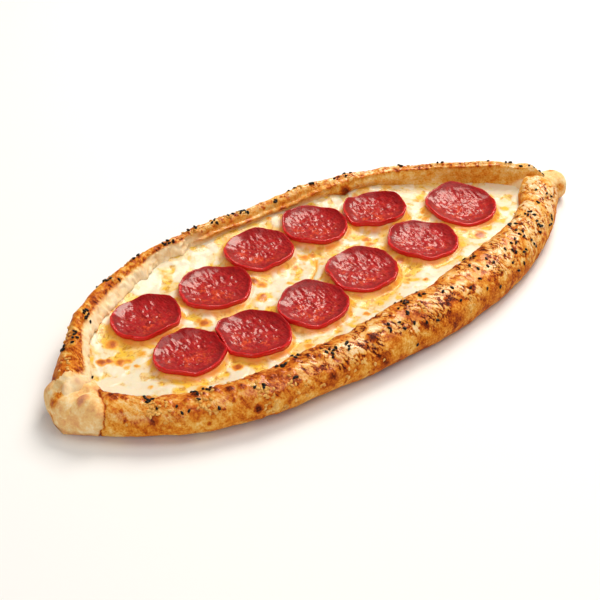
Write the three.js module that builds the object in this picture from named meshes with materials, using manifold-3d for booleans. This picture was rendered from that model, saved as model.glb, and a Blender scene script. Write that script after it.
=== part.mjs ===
// A Turkish pide: a boat of leavened dough, its long sides rolled in and its two ends pinched into knobs,
// filled with melted cheese and slices of cured sausage, and sprinkled with sesame and nigella seeds.
//
// Millimetres. +X runs along the boat to its small knob, +Y to its thin, folded rim, +Z up. The origin is on the
// surface that the pide lies on, under the middle of its bounding box.
import * as THREE from "three";
import { mergeVertices } from "three/addons/utils/BufferGeometryUtils.js";
import Module from "manifold-3d";

const wasm = await Module();
wasm.setup();

// ---- Driving dimensions ----

// The boat's outline: half its width, where it is widest, and how far and how bluntly each end reaches from there.
const HALF_WIDTH = 78.2;
const WIDEST_X = -12;
const BLUNT_END = { reach: 180, power: 3.7 }; // towards -X
const SHARP_END = { reach: 194, power: 2.5 }; // towards +X
const END_SHARE = 0.975; // the dough's own body stops here, inside the knobs

// The line midway between the rims: where it lies in the middle, and how far it drifts by each end.
const CENTRE = { middle: 3.3, blunt: -9.3, sharp: -5 };

const SHEET = 6.5; // the dough under the filling
const GAP = 0.35; // between pieces that touch

// The rolled rim on the -Y side and the folded rim on the +Y side, each size at these places along the boat.
const PLACES = [-130, -50, 50, 130];
const ROLLED_RIM = {
  side: -1,
  breadth: [20.5, 27, 32, 24],
  height: [21, 23, 24, 22],
  foot: [8.5, 6, 3.5, 3.5], // how far inside its bulge it touches down
  overhang: [0, 0, 0, 0],
  lipHeight: 0.6, // shares of the rim's height
  shoulderHeight: 0.93,
  recess: 0.5,
  bunch: { blunt: 0.1, sharp: 0.05 },
};
const FOLDED_RIM = {
  side: 1,
  breadth: [12, 9.5, 8.5, 6.5],
  height: [23.5, 26, 27, 26],
  foot: [5, 5, 5, 4],
  overhang: [0.5, 2, 2, 0],
  lipHeight: 0.8,
  shoulderHeight: 0.95,
  recess: 1.5,
  bunch: { blunt: 1, sharp: 0 },
};
const BUNCHES = [0.74, 0.86]; // shares of the way to an end where the dough bunches up and the rims get broader
const SEAM_WIDTH = 2; // half the groove where the two rims are pinched together
const SEAM_OPENS = 14; // the hollow has its full depth once it is this wide

// The pinched ends: a broad flap folded over the blunt end, and a small nub at the sharp one. The radii are along
// X and Y, up and down. Square is 1 for an ellipsoid and less for a squarer block. The dimple is in the top.
const BLUNT_KNOB = {
  at: [-174.5, -2.5, 8.5],
  radii: [14.5, 17.5, 13, 9.5],
  turn: -0.15,
  square: 0.8,
  dimple: { at: [2, 6], depth: 2, width: 7 },
};
const SHARP_KNOB = {
  at: [177.5, 3, 9],
  radii: [11.5, 9.5, 9, 9.3],
  turn: -0.35,
  square: 0.85,
  dimple: { at: [-2, 0], depth: 0.8, width: 5 },
};

// The cheese: its level in the middle, how much it climbs each rim, and the depth of its lumps.
const CHEESE = { level: [12.6, 12.6, 12.6, 10.5], lump: 0.8, cell: 9 };
const CHEESE_CLIMB = { rolled: [2, 1.5, 1.5, 0.5], folded: [3, 4.5, 5, 1], within: 15 };

// The sausage slices: where each lies, its radius, its breadth along Y as a share of its length, how far its edge
// curls up, how much it is lifted by the cheese under it and the slope that it lies on.
const SLICE_THICKNESS = 2.6;
const SLICES = [
  { at: [-111.5, 29.8], radius: 20.5, long: 0.92, curl: 3.2, lift: 0, slope: [0.02, -0.02] },
  { at: [-65, 30], radius: 21.3, long: 0.95, curl: 3, lift: 0, slope: [0, 0.02] },
  { at: [-109.5, -11.3], radius: 20.6, long: 0.9, curl: 3.4, lift: 0, slope: [0.03, 0] },
  { at: [-23.8, 45.4], radius: 21.3, long: 0.93, curl: 3, lift: 1.2, slope: [0.02, 0.03] },
  { at: [-73.2, -18.6], radius: 20.8, long: 1, curl: 3.4, lift: 0, slope: [-0.02, 0] },
  { at: [18.6, 46.6], radius: 20.2, long: 1, curl: 3.4, lift: 1.2, slope: [0, 0.02] },
  { at: [-31, -16.6], radius: 21.6, long: 0.9, curl: 3.6, lift: 0, slope: [0.02, 0.02] },
  { at: [13.1, -6.2], radius: 21.8, long: 0.98, curl: 3, lift: 0, slope: [-0.02, 0.02] },
  { at: [59.5, 38.8], radius: 19.6, long: 0.98, curl: 4, lift: 0.6, slope: [0.03, -0.02] },
  { at: [61.7, -4], radius: 21.2, long: 0.98, curl: 3.2, lift: 0, slope: [-0.03, 0.02] },
  { at: [108.8, 13], radius: 22.2, long: 0.98, curl: 3.2, lift: 0.4, slope: [0.02, 0.07] },
];

// Seeds: length, breadth and thickness of each kind, and how many clumps of it lie on each rim.
const SEEDS = [
  { kind: "sesame", size: [3.1, 2.1, 1.5], rolled: 15, folded: 8 },
  { kind: "nigella", size: [2.9, 1.8, 1.6], rolled: 14, folded: 8 },
];
const SEEDS_IN_CLUMP = 5;
const CLUMP_SPREAD = 13;
// The keys of the section between which they lie: over the crown of each rim, clear of the filling.
const SEEDED = { rolled: [3.3, 6.1], folded: [17, 18.7] };

// Mesh density.
const STATIONS = 52;
const SAMPLES_PER_KEY = 2;
const SLICE_SEGMENTS = 16;

// ---- Small helpers ----

const mix = THREE.MathUtils.lerp;
const smooth = (x, low, high) => THREE.MathUtils.smoothstep(x, low, high);

// A size given at each of the places along the boat, blended between them.
function along(x, sizes) {
  return sizes.slice(1).reduce((value, next, i) => mix(value, next, smooth(x, PLACES[i], PLACES[i + 1])), sizes[0]);
}

// A repeatable draw from 0 to 1 for the whole number n.
function draw(n) {
  const s = Math.sin(n * 12.9898 + 4.1414) * 43758.5453;
  return s - Math.floor(s);
}

// Soft unevenness of hand-shaped dough, about -1 to 1, with no repeat along the boat.
function wobble(x, phase) {
  return 0.55 * Math.sin(x / 17 + phase) + 0.3 * Math.sin(x / 9.1 + 2.3 * phase) + 0.15 * Math.sin(x / 4.7 - phase);
}

function solidOf(geometry) {
  const bare = geometry.clone();
  bare.deleteAttribute("normal");
  bare.deleteAttribute("uv");
  const merged = mergeVertices(bare, 1e-4);
  const solid = new wasm.Manifold(
    new wasm.Mesh({
      numProp: 3,
      vertProperties: new Float32Array(merged.attributes.position.array),
      triVerts: new Uint32Array(merged.index.array),
    }),
  );
  if (solid.volume() <= 0) throw new Error("a geometry is inside out");
  return solid;
}

function geometryOf(solid) {
  const mesh = solid.getMesh();
  const geometry = new THREE.BufferGeometry();
  geometry.setAttribute("position", new THREE.BufferAttribute(new Float32Array(mesh.vertProperties), 3));
  geometry.setIndex(new THREE.BufferAttribute(new Uint32Array(mesh.triVerts), 1));
  geometry.computeVertexNormals();
  return geometry;
}

// The one piece of a solid that matters: crumbs cut loose and pockets sealed inside are dropped.
function largestPiece(solid) {
  const pieces = solid.decompose();
  return pieces.reduce((best, piece) => (piece.volume() > best.volume() ? piece : best));
}

// A closed skin over rings of points, each ring joined to the next, with a fan on the first and on the last.
// The rings run clockwise as seen from the last one.
function skinOver(rings) {
  const count = rings[0].length;
  const points = rings.flat();
  const faces = [];
  for (let i = 0; i + 1 < rings.length; i++) {
    for (let j = 0; j < count; j++) {
      const a = i * count + j;
      const b = i * count + ((j + 1) % count);
      faces.push(a, a + count, b, b, a + count, b + count);
    }
  }
  [rings[0], rings.at(-1)].forEach((ring, end) => {
    const middle = ring.reduce((sum, p) => sum.add(p), new THREE.Vector3()).divideScalar(count);
    const first = end ? (rings.length - 1) * count : 0;
    const hub = points.push(middle) - 1;
    for (let j = 0; j < count; j++) {
      const a = first + j;
      const b = first + ((j + 1) % count);
      faces.push(...(end ? [b, a, hub] : [a, b, hub]));
    }
  });
  return new THREE.BufferGeometry().setFromPoints(points).setIndex(faces);
}

// ---- The boat of dough ----

function endOf(x) {
  return x < WIDEST_X ? BLUNT_END : SHARP_END;
}

// How far x lies towards its end of the outline: 0 at the widest place, 1 at the end.
function endShare(x) {
  return Math.abs(x - WIDEST_X) / endOf(x).reach;
}

function halfWidth(x) {
  return HALF_WIDTH * (1 - Math.pow(endShare(x), endOf(x).power));
}

// How much longer a straight line across a rim is when drawn along Y, for the outline runs aslant there.
function slant(x) {
  const { reach, power } = endOf(x);
  const slope = ((HALF_WIDTH * power) / reach) * Math.pow(endShare(x), power - 1);
  return Math.hypot(1, slope);
}

function centreLine(x) {
  return CENTRE.middle + CENTRE.blunt * (1 - smooth(x, -195, -100)) + CENTRE.sharp * smooth(x, 90, 165);
}

// A rim's outer edge at x, and its inner edge before it meets the other rim, both along Y from the centre line.
function edges(rim, x) {
  const outer = halfWidth(x) + 0.7 * wobble(x, 3 + rim.side);
  const bunch = x < WIDEST_X ? rim.bunch.blunt : rim.bunch.sharp;
  const spread = (1 + bunch * smooth(endShare(x), ...BUNCHES)) * (1 + 0.05 * wobble(x, 1 - rim.side));
  return { outer, inner: outer - along(x, rim.breadth) * slant(x) * spread };
}

// The middle of the hollow at x, from the centre line, and half its width. Its sides never quite meet.
function hollow(x) {
  const left = edges(FOLDED_RIM, x);
  const right = edges(ROLLED_RIM, x);
  const narrowest = Math.min(SEAM_WIDTH, 0.3 * right.outer);
  const reach = 0.4 * right.outer;
  return {
    middle: THREE.MathUtils.clamp((left.inner - right.inner) / 2, -reach, reach),
    half: Math.max((left.inner + right.inner) / 2, narrowest),
  };
}

// A rim's sizes at x: its outer and inner distance from the centre line, breadth, height, overhang and foot.
function rimAt(rim, x) {
  const { outer } = edges(rim, x);
  const { middle, half } = hollow(x);
  const inner = Math.min(half + rim.side * middle, 0.85 * outer);
  const drop = 1 - 0.6 * smooth(endShare(x), 0.9, 1);
  return {
    half: outer,
    inner,
    breadth: outer - inner,
    height: (along(x, rim.height) + 0.9 * wobble(x, 5 * rim.side)) * drop,
    overhang: along(x, rim.overhang) * (1 + 0.35 * wobble(x, 2)),
    foot: Math.min(along(x, rim.foot), 0.2 * outer),
  };
}

// The height of the seam where the rims are pinched shut.
function seamHeight(x) {
  return 0.8 * Math.min(rimAt(ROLLED_RIM, x).height, rimAt(FOLDED_RIM, x).height);
}

// How far the hollow has opened at x, from 0 where the rims are pinched shut to 1.
function openness(x) {
  return smooth(hollow(x).half, SEAM_WIDTH, SEAM_WIDTH + SEAM_OPENS / 2);
}

// Half of the boat's section at x, from its underside out round the rim and down to the hollow's floor, as
// [distance from the centre line, height] pairs. The last four close to a shallow seam where the rims meet.
function halfSection(rim, x) {
  const r = rimAt(rim, x);
  const open = openness(x);
  const middle = rim.side * hollow(x).middle;
  const width = r.inner - middle;
  const inside = (closedOut, toSeam, openOut, openUp) => [
    middle + mix(width * closedOut, openOut, open),
    mix(mix(0.88 * r.height, seamHeight(x), toSeam), openUp, open),
  ];
  return [
    [r.half - 2.6 * r.foot, 0],
    [r.half - r.foot, 0.07 * r.height],
    [r.half, 0.42 * r.height],
    [r.half - 0.12 * r.breadth, 0.8 * r.height],
    [r.half - 0.45 * r.breadth, r.height],
    [r.half - 0.82 * r.breadth, rim.shoulderHeight * r.height],
    inside(1, 0, width - r.overhang, rim.lipHeight * r.height),
    inside(0.85, 0.5, width + rim.recess, mix(SHEET, rim.lipHeight * r.height, 0.6)),
    inside(0.65, 0.85, width + 0.3 * rim.recess, SHEET + 2),
    inside(0.4, 1, Math.max(width - 4.5, 0.7 * width), SHEET),
  ];
}

// The smooth closed curve of the section at x: the middle of the underside, the rolled rim, the middle of the
// hollow, the folded rim. Its keys are evenly shared out along it.
function sectionCurve(x) {
  const centre = centreLine(x);
  const rolled = halfSection(ROLLED_RIM, x).map(([out, up]) => [centre - out, up]);
  const folded = halfSection(FOLDED_RIM, x).map(([out, up]) => [centre + out, up]);
  const floor = mix(seamHeight(x), SHEET, openness(x));
  const keys = [[centre, 0], ...rolled, [centre + hollow(x).middle, floor], ...folded.reverse()];
  return new THREE.CatmullRomCurve3(keys.map(([y, z]) => new THREE.Vector3(x, y, z)), true);
}

// The ring of skin at x. With swell, it is that much further out all round.
function sectionRing(x, swell) {
  const curve = sectionCurve(x);
  const count = curve.points.length * SAMPLES_PER_KEY;
  const ring = Array.from({ length: count }, (_, j) => curve.getPoint(j / count));
  ring.forEach((p) => (p.z = Math.max(p.z, 0)));
  return ring.map((p, j) => {
    const run = ring[(j + 1) % count].clone().sub(ring[(j + count - 1) % count]);
    const inward = new THREE.Vector3(0, run.z, -run.y).normalize();
    return p.clone().addScaledVector(inward, -swell);
  });
}

// Where the sections stand: evenly spaced in the middle and closer towards the ends.
function stations() {
  const first = WIDEST_X - END_SHARE * BLUNT_END.reach;
  const last = WIDEST_X + END_SHARE * SHARP_END.reach;
  return Array.from({ length: STATIONS + 1 }, (_, i) => {
    const even = i / STATIONS;
    const gathered = (1 - Math.cos(Math.PI * even)) / 2;
    return mix(first, last, mix(even, gathered, 0.6));
  });
}

// A knob: a ball stretched and squared, dimpled on top and flat underneath.
function knob({ at, radii, turn, square, dimple }, swell) {
  const ball = new THREE.SphereGeometry(1, 20, 13).rotateX(Math.PI / 2);
  const points = ball.attributes.position;
  const soften = (value) => Math.sign(value) * Math.pow(Math.abs(value), square);
  for (let i = 0; i < points.count; i++) {
    const unit = new THREE.Vector3().fromBufferAttribute(points, i);
    const p = new THREE.Vector3(
      soften(unit.x) * (radii[0] + swell),
      soften(unit.y) * (radii[1] + swell),
      soften(unit.z) * (radii[unit.z > 0 ? 2 : 3] + swell),
    );
    const off = Math.hypot(p.x - dimple.at[0], p.y - dimple.at[1]) / dimple.width;
    if (p.z > 0) p.z -= dimple.depth * Math.exp(-off * off);
    p.applyAxisAngle(new THREE.Vector3(0, 0, 1), turn).add(new THREE.Vector3(...at));
    points.setXYZ(i, p.x, p.y, Math.max(p.z, -swell)); // it lies flat
  }
  return solidOf(ball);
}

// The whole piece of dough. Swollen by the gap, it cuts the cheese to fit.
function dough(swell) {
  const body = solidOf(skinOver(stations().map((x) => sectionRing(x, swell))));
  return body.add(knob(BLUNT_KNOB, swell)).add(knob(SHARP_KNOB, swell));
}

// ---- Seeds baked onto the rims ----

// A point of the dough's skin and the direction straight out of it. Round is the section's key to stand on.
function skinPoint(x, round) {
  const at = (px, pr) => {
    const curve = sectionCurve(px);
    return curve.getPoint(pr / curve.points.length);
  };
  const point = at(x, round);
  const run = at(x + 0.5, round).sub(at(x - 0.5, round));
  const turn = at(x, round + 0.1).sub(at(x, round - 0.1));
  return { point, outward: run.cross(turn).normalize() };
}

// One seed, half sunk in the skin and lying any way round on it.
function seed(size, { point, outward }, yaw) {
  const lie = new THREE.Quaternion().setFromUnitVectors(new THREE.Vector3(0, 0, 1), outward);
  const spin = new THREE.Quaternion().setFromAxisAngle(new THREE.Vector3(0, 0, 1), yaw);
  const grain = new THREE.OctahedronGeometry(0.56, 0).scale(...size).applyQuaternion(lie.multiply(spin));
  grain.translate(...point.clone().addScaledVector(outward, 0.12 * size[2]));
  return solidOf(grain);
}

// Seeds in loose clumps along both rims. One that would touch another is left out.
function seeds() {
  const spots = [];
  const grains = [];
  let n = 1;
  for (const { size, rolled, folded } of SEEDS) {
    for (const [rim, clumps] of Object.entries({ rolled, folded })) {
      const [low, high] = SEEDED[rim];
      for (let i = 0; i < clumps * SEEDS_IN_CLUMP; i++) {
        const clump = Math.floor(i / SEEDS_IN_CLUMP);
        const x = mix(-152, 152, (clump + 0.15 + 0.7 * draw(clump + 7 * clumps)) / clumps);
        const round = mix(low, high, draw(clump + 11 * clumps));
        const around = THREE.MathUtils.clamp(round + 1.6 * (draw(n++) - 0.5), low, high);
        const spot = skinPoint(x + CLUMP_SPREAD * (draw(n++) - 0.5), around);
        if (spots.some((other) => other.point.distanceTo(spot.point) < 3.7)) continue;
        spots.push(spot);
        grains.push(seed(size, spot, Math.PI * draw(n++)));
      }
    }
  }
  return grains;
}

// ---- The filling ----

// The cheese before anything presses on it: level in the middle, climbing both rims, and lumpy.
function looseCheese(x, y) {
  const toRolled = y - (centreLine(x) - rimAt(ROLLED_RIM, x).inner);
  const toFolded = centreLine(x) + rimAt(FOLDED_RIM, x).inner - y;
  const near = (distance) => 1 - smooth(distance, 0, CHEESE_CLIMB.within);
  const lump = Math.sin(x / 8.3 + 1.7 * Math.sin(y / 13)) * Math.sin(y / 7.1 + 1.3 * Math.sin(x / 17));
  const climb = along(x, CHEESE_CLIMB.rolled) * near(toRolled) + along(x, CHEESE_CLIMB.folded) * near(toFolded);
  return along(x, CHEESE.level) + climb + CHEESE.lump * lump;
}

// The flat bed that a slice has pressed into the cheese.
function sliceBed({ at, lift, slope }, x, y) {
  return along(at[0], CHEESE.level) + lift + slope[0] * (x - at[0]) + slope[1] * (y - at[1]);
}

function cheeseTop(x, y) {
  return SLICES.reduce((height, slice) => {
    const off = Math.hypot(x - slice.at[0], y - slice.at[1]);
    return mix(sliceBed(slice, x, y), height, smooth(off, slice.radius - 3, slice.radius + 5));
  }, looseCheese(x, y));
}

// A lumpy slab wider than the hollow, cut back to what the dough leaves room for.
function cheese() {
  const bottom = SHEET + 2 * GAP;
  const [x0, x1, y0, y1] = [-172, 165, -66, 84];
  const columns = Math.round((x1 - x0) / CHEESE.cell);
  const rows = Math.round((y1 - y0) / CHEESE.cell);
  const slab = Array.from({ length: columns + 1 }, (_, i) => {
    const x = mix(x0, x1, i / columns);
    const top = Array.from({ length: rows + 1 }, (_, j) => {
      const y = mix(y0, y1, j / rows);
      return new THREE.Vector3(x, y, cheeseTop(x, y));
    });
    return [new THREE.Vector3(x, y1, bottom), new THREE.Vector3(x, y0, bottom), ...top];
  });
  return largestPiece(solidOf(skinOver(slab)).subtract(dough(GAP)));
}

// How much of its reach a slice keeps in a direction, so that neighbours flatten against each other.
function roomFor(slice, dx, dy) {
  return SLICES.reduce((share, other) => {
    if (other === slice) return share;
    const [ox, oy] = [other.at[0] - slice.at[0], other.at[1] - slice.at[1]];
    const apart = Math.hypot(ox, oy);
    const towards = (dx * ox + dy * oy) / apart;
    const room = (apart * slice.radius) / (slice.radius + other.radius) - GAP / 2;
    return towards > room ? Math.min(share, room / towards) : share;
  }, 1);
}

// One slice of sausage: a disc with a wavy edge that has curled up in the oven.
function slice(bed, n) {
  const { at, radius, long, curl } = bed;
  const point = (share, angle, raise) => {
    const reach = radius * (1 + 0.02 * Math.sin(2 * angle + n) + 0.012 * Math.sin(5 * angle + 2.1 * n));
    const [dx, dy] = [reach * Math.cos(angle), long * reach * Math.sin(angle)];
    const kept = share * roomFor(bed, dx, dy);
    const [x, y] = [at[0] + kept * dx, at[1] + kept * dy];
    const cup = curl * Math.pow(share, 4) * (0.72 + 0.2 * Math.sin(3 * angle + 1.7 * n) + 0.08 * Math.sin(7 * angle));
    return new THREE.Vector3(x, y, sliceBed(bed, x, y) + GAP + cup + raise);
  };
  const ring = (share, raise) =>
    Array.from({ length: SLICE_SEGMENTS }, (_, j) => point(share, (-2 * Math.PI * j) / SLICE_SEGMENTS, raise));
  const t = SLICE_THICKNESS;
  const rings = [ring(0.6, 0), ring(0.97, 0.08 * t), ring(1, 0.5 * t), ring(0.97, 0.92 * t), ring(0.8, t), ring(0.45, t)];
  return solidOf(skinOver(rings));
}

// ---- The pide ----

const parts = new THREE.Group();
parts.name = "turkish_pide";

function addPart(name, solid, color, roughness) {
  const mesh = new THREE.Mesh(
    geometryOf(solid),
    new THREE.MeshStandardMaterial({ color, roughness, metalness: 0 }),
  );
  mesh.name = name;
  parts.add(mesh);
}

const crust = largestPiece(seeds().reduce((whole, grain) => whole.add(grain), dough(0)));
addPart("crust", crust, "#c98b45", 0.6);
addPart("cheese", cheese(), "#f4dfae", 0.45);
SLICES.forEach((one, i) => {
  const number = String(i + 1).padStart(2, "0");
  addPart(`sucuk_slice_${number}`, slice(one, i), "#a81f26", 0.35);
});

// The origin goes under the middle of the whole.
const middle = new THREE.Box3().setFromObject(parts).getCenter(new THREE.Vector3());
parts.children.forEach((mesh) => mesh.geometry.translate(-middle.x, -middle.y, 0));
parts.userData.origin = [middle.x, middle.y];

export default parts;
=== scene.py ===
"""A Turkish pide dressed for a picture: baked dough, melted cheese, sausage slices and two kinds of seed.

Every shape is worked out in millimetres in the maker's frame, whose X axis runs along the boat from its blunt
end to its sharp one, and is moved to the part's frame, in metres, when its mesh is made.
"""

import logging
import math
from dataclasses import dataclass, field
from enum import Enum
from functools import cached_property
from typing import Any, NamedTuple, Sequence

import bpy
import numpy as np
from mathutils import Matrix


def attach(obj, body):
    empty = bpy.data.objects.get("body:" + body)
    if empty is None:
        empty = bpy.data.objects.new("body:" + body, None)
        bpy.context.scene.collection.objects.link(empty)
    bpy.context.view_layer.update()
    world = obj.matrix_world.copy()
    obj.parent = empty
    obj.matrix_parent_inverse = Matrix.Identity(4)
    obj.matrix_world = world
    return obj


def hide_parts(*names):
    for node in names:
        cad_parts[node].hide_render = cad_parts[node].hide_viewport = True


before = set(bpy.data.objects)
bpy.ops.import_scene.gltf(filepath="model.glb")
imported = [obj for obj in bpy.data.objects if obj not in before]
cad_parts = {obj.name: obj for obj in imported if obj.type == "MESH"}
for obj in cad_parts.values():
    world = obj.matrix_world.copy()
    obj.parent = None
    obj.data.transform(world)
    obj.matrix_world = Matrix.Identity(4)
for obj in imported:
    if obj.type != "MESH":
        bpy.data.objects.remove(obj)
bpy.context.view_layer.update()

Array = np.ndarray
Faces = list[list[int]]
Layers = dict[str, Array]
LOG = logging.getLogger("pide")
MM = 0.001
# The middle of the part, in the maker's frame, in millimetres.
ORIGIN = np.array([-0.114, 3.254, 0.0])


# ------------------------------------------ Small helpers ------------------------------------------


def mix(low: Any, high: Any, share: Any) -> Any:
    """The value that lies share of the way from low to high."""
    return low + (high - low) * share


def smooth(x: Any, low: float, high: float) -> Any:
    """0 below low, 1 above high and the smooth cubic step between them."""
    share = np.clip((x - low) / (high - low), 0.0, 1.0)
    return share * share * (3 - 2 * share)


def fall(x: Any, low: float, high: float) -> Any:
    """1 below low, 0 above high and the smooth cubic step between them."""
    return 1 - smooth(x, low, high)


def bell(distance: Any, width: float) -> Any:
    """1 in the middle, falling off to nothing a little beyond width, as exp(-(distance / width) squared)."""
    return np.exp(-np.square(np.asarray(distance) / width))


def linear(code: str) -> tuple[float, float, float, float]:
    """An sRGB hex value as linear colour with full alpha.

    Args:
        code: Six hex digits after a hash sign.

    Returns:
        Red, green, blue and alpha.
    """
    shares = [int(code[i : i + 2], 16) / 255 for i in (1, 3, 5)]
    red, green, blue = (s / 12.92 if s <= 0.04045 else ((s + 0.055) / 1.055) ** 2.4 for s in shares)
    return (red, green, blue, 1.0)


@dataclass(frozen=True)
class Lumps:
    """Smooth random unevenness in space, the same at every run.

    Each corner of a lattice of cubes has a random slope. A point takes the heights that the slopes of its
    cube's eight corners give it, blended with a fifth-power fade. Every further octave is half as large and
    half as high.
    """

    size: float
    seed: int
    octaves: int = 1

    @staticmethod
    def draws(cells: Array, seed: int) -> Array:
        """A repeatable draw from -1 to 1 for each lattice cell, whose three whole numbers are hashed."""
        c = cells.astype(np.int64)
        h = (c[..., 0] * 73856093) ^ (c[..., 1] * 19349663) ^ (c[..., 2] * 83492791) ^ (seed * 961748941)
        h = ((h ^ (h >> 13)) & 0xFFFFFFFF) * 1274126177
        h = ((h ^ (h >> 16)) & 0xFFFFFFFF) * 668265263
        return ((h ^ (h >> 15)) & 0xFFFFFF) / 0x7FFFFF - 1.0

    def layer(self, points: Array, seed: int) -> Array:
        """One octave at points that are already in lattice cells."""
        base = np.floor(points)
        part = points - base
        fade = part**3 * (part * (part * 6 - 15) + 10)
        total = np.zeros(points.shape[:-1])
        for corner in np.ndindex(2, 2, 2):
            at = np.array(corner, float)
            slope = np.stack([self.draws(base + at, seed + k) for k in range(3)], -1)
            weight = np.prod(np.where(at > 0, fade, 1 - fade), -1)
            total += weight * np.sum(slope * (part - at), -1)
        return total * 1.5

    def at(self, points: Array, stretch: Sequence[float] = (1, 1, 1)) -> Array:
        """The unevenness at each point, about -1 to 1.

        Args:
            points: An array of points, in millimetres, in its last axis.
            stretch: How many times longer the lumps are along each axis.

        Returns:
            An array of values.
        """
        scaled = points / (self.size * np.asarray(stretch, float))
        total, height = 0.0, 1.0
        for octave in range(self.octaves):
            total = total + height * self.layer(scaled * 2**octave + 17.3 * octave, self.seed + 31 * octave)
            height *= 0.5
        return np.clip(total, -1, 1)


def jostled(points: Array, size: float, seed: int, octaves: int = 1) -> Array:
    """A shift of each point along all three axes, each axis with its own lumps."""
    return np.stack([Lumps(size, seed + k, octaves).at(points) for k in range(3)], -1)


def rises(points: Array, middles: Array, radii: Array, heights: Array, edge: float = 0.0) -> Array:
    """Round bumps: the highest of height times (1 - (distance / radius) squared) squared over all the bumps.

    Args:
        points: Where to measure, in the last axis.
        middles: The middle of each bump.
        radii: The radius of each bump.
        heights: The height of each bump.
        edge: From 0 for a round top towards 1 for a flat one with a steeper edge.

    Returns:
        The height at each point.
    """
    total = np.zeros(points.shape[:-1])
    for middle, radius, height in zip(middles, radii, heights):
        near = np.clip(1 - np.sum((points - middle) ** 2, -1) / radius**2, 0, 1) ** (2 - 1.5 * edge)
        total = np.maximum(total, height * near)
    return total


def distance_to_line(points: Array, line: Sequence[Sequence[float]]) -> Array:
    """The distance from each point to a line of straight stretches, the least over the stretches."""
    corners = np.asarray(line, float)
    least = np.full(points.shape[:-1], np.inf)
    for a, b in zip(corners, corners[1:]):
        share = np.clip(np.sum((points - a) * (b - a), -1) / np.sum((b - a) ** 2), 0, 1)
        least = np.minimum(least, np.linalg.norm(points - a - share[..., None] * (b - a), axis=-1))
    return least


# --------------------------------------- Surfaces and meshes ---------------------------------------


def outward_of(points: Array) -> Array:
    """The unit normals of a grid surface: the slope along the rows crossed with the slope round them.

    Args:
        points: Rows by columns by three. The columns close on themselves.

    Returns:
        An array of the same shape.
    """
    run = np.gradient(points, axis=0)
    turn = np.roll(points, -1, 1) - np.roll(points, 1, 1)
    normal = np.cross(run, turn)
    return normal / np.maximum(np.linalg.norm(normal, axis=-1, keepdims=True), 1e-9)


def closed_skin(points: Array) -> tuple[Array, Faces]:
    """A closed skin over rings of points, with a fan on the first ring and on the last.

    Args:
        points: Rings by columns by three. The rings run clockwise as seen from the last one.

    Returns:
        The vertices and the faces, which point outwards.
    """
    rings, count = points.shape[:2]
    i = np.arange(rings - 1)[:, None] * count
    j = np.arange(count)[None]
    a, b = i + j, i + (j + 1) % count
    quads = np.stack([a, a + count, b + count, b], -1).reshape(-1, 4)
    first, last = rings * count, rings * count + 1
    edge, after = np.arange(count), (np.arange(count) + 1) % count
    fan = np.stack([edge, after, np.full(count, first)], -1)
    far = (rings - 1) * count
    fan_end = np.stack([after + far, edge + far, np.full(count, last)], -1)
    vertices = np.vstack([points.reshape(-1, 3), points[0].mean(0), points[-1].mean(0)])
    return vertices, quads.tolist() + fan.tolist() + fan_end.tolist()


def make_piece(name: str, vertices: Array, faces: Faces, layers: Layers) -> bpy.types.Object:
    """A smooth mesh object at the origin, from points in millimetres in the maker's frame.

    Args:
        name: Its name.
        vertices: Its points.
        faces: Its faces, which point outwards.
        layers: A value for each point under each attribute's name.

    Returns:
        The object, linked to the scene.
    """
    mesh = bpy.data.meshes.new(name)
    mesh.from_pydata(((vertices - ORIGIN) * MM).tolist(), [], faces)
    for layer, values in layers.items():
        write_layer(mesh, layer, values)
    return linked(name, mesh)


def skin_piece(name: str, points: Array, layers: Layers) -> bpy.types.Object:
    """A closed skin over rings of points as a piece. At each pole a layer takes its ring's mean."""
    vertices, faces = closed_skin(points)
    poled = {k: np.concatenate([v.reshape(-1), [v[0].mean(), v[-1].mean()]]) for k, v in layers.items()}
    return make_piece(name, vertices, faces, poled)


def linked(name: str, mesh: bpy.types.Mesh) -> bpy.types.Object:
    """A smooth object of a mesh, in the scene."""
    mesh.polygons.foreach_set("use_smooth", np.ones(len(mesh.polygons), bool))
    mesh.update()
    piece = bpy.data.objects.new(name, mesh)
    bpy.context.scene.collection.objects.link(piece)
    return piece


def write_layer(mesh: bpy.types.Mesh, layer: str, values: Array) -> None:
    """Writes a value for each of a mesh's vertices, in a new attribute or over an old one."""
    attribute = mesh.attributes.get(layer) or mesh.attributes.new(layer, "FLOAT", "POINT")
    attribute.data.foreach_set("value", np.asarray(values, np.float32))


def read_layer(mesh: bpy.types.Mesh, layer: str) -> Array:
    """A mesh attribute's values."""
    values = np.zeros(len(mesh.vertices), np.float32)
    mesh.attributes[layer].data.foreach_get("value", values)
    return values


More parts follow.
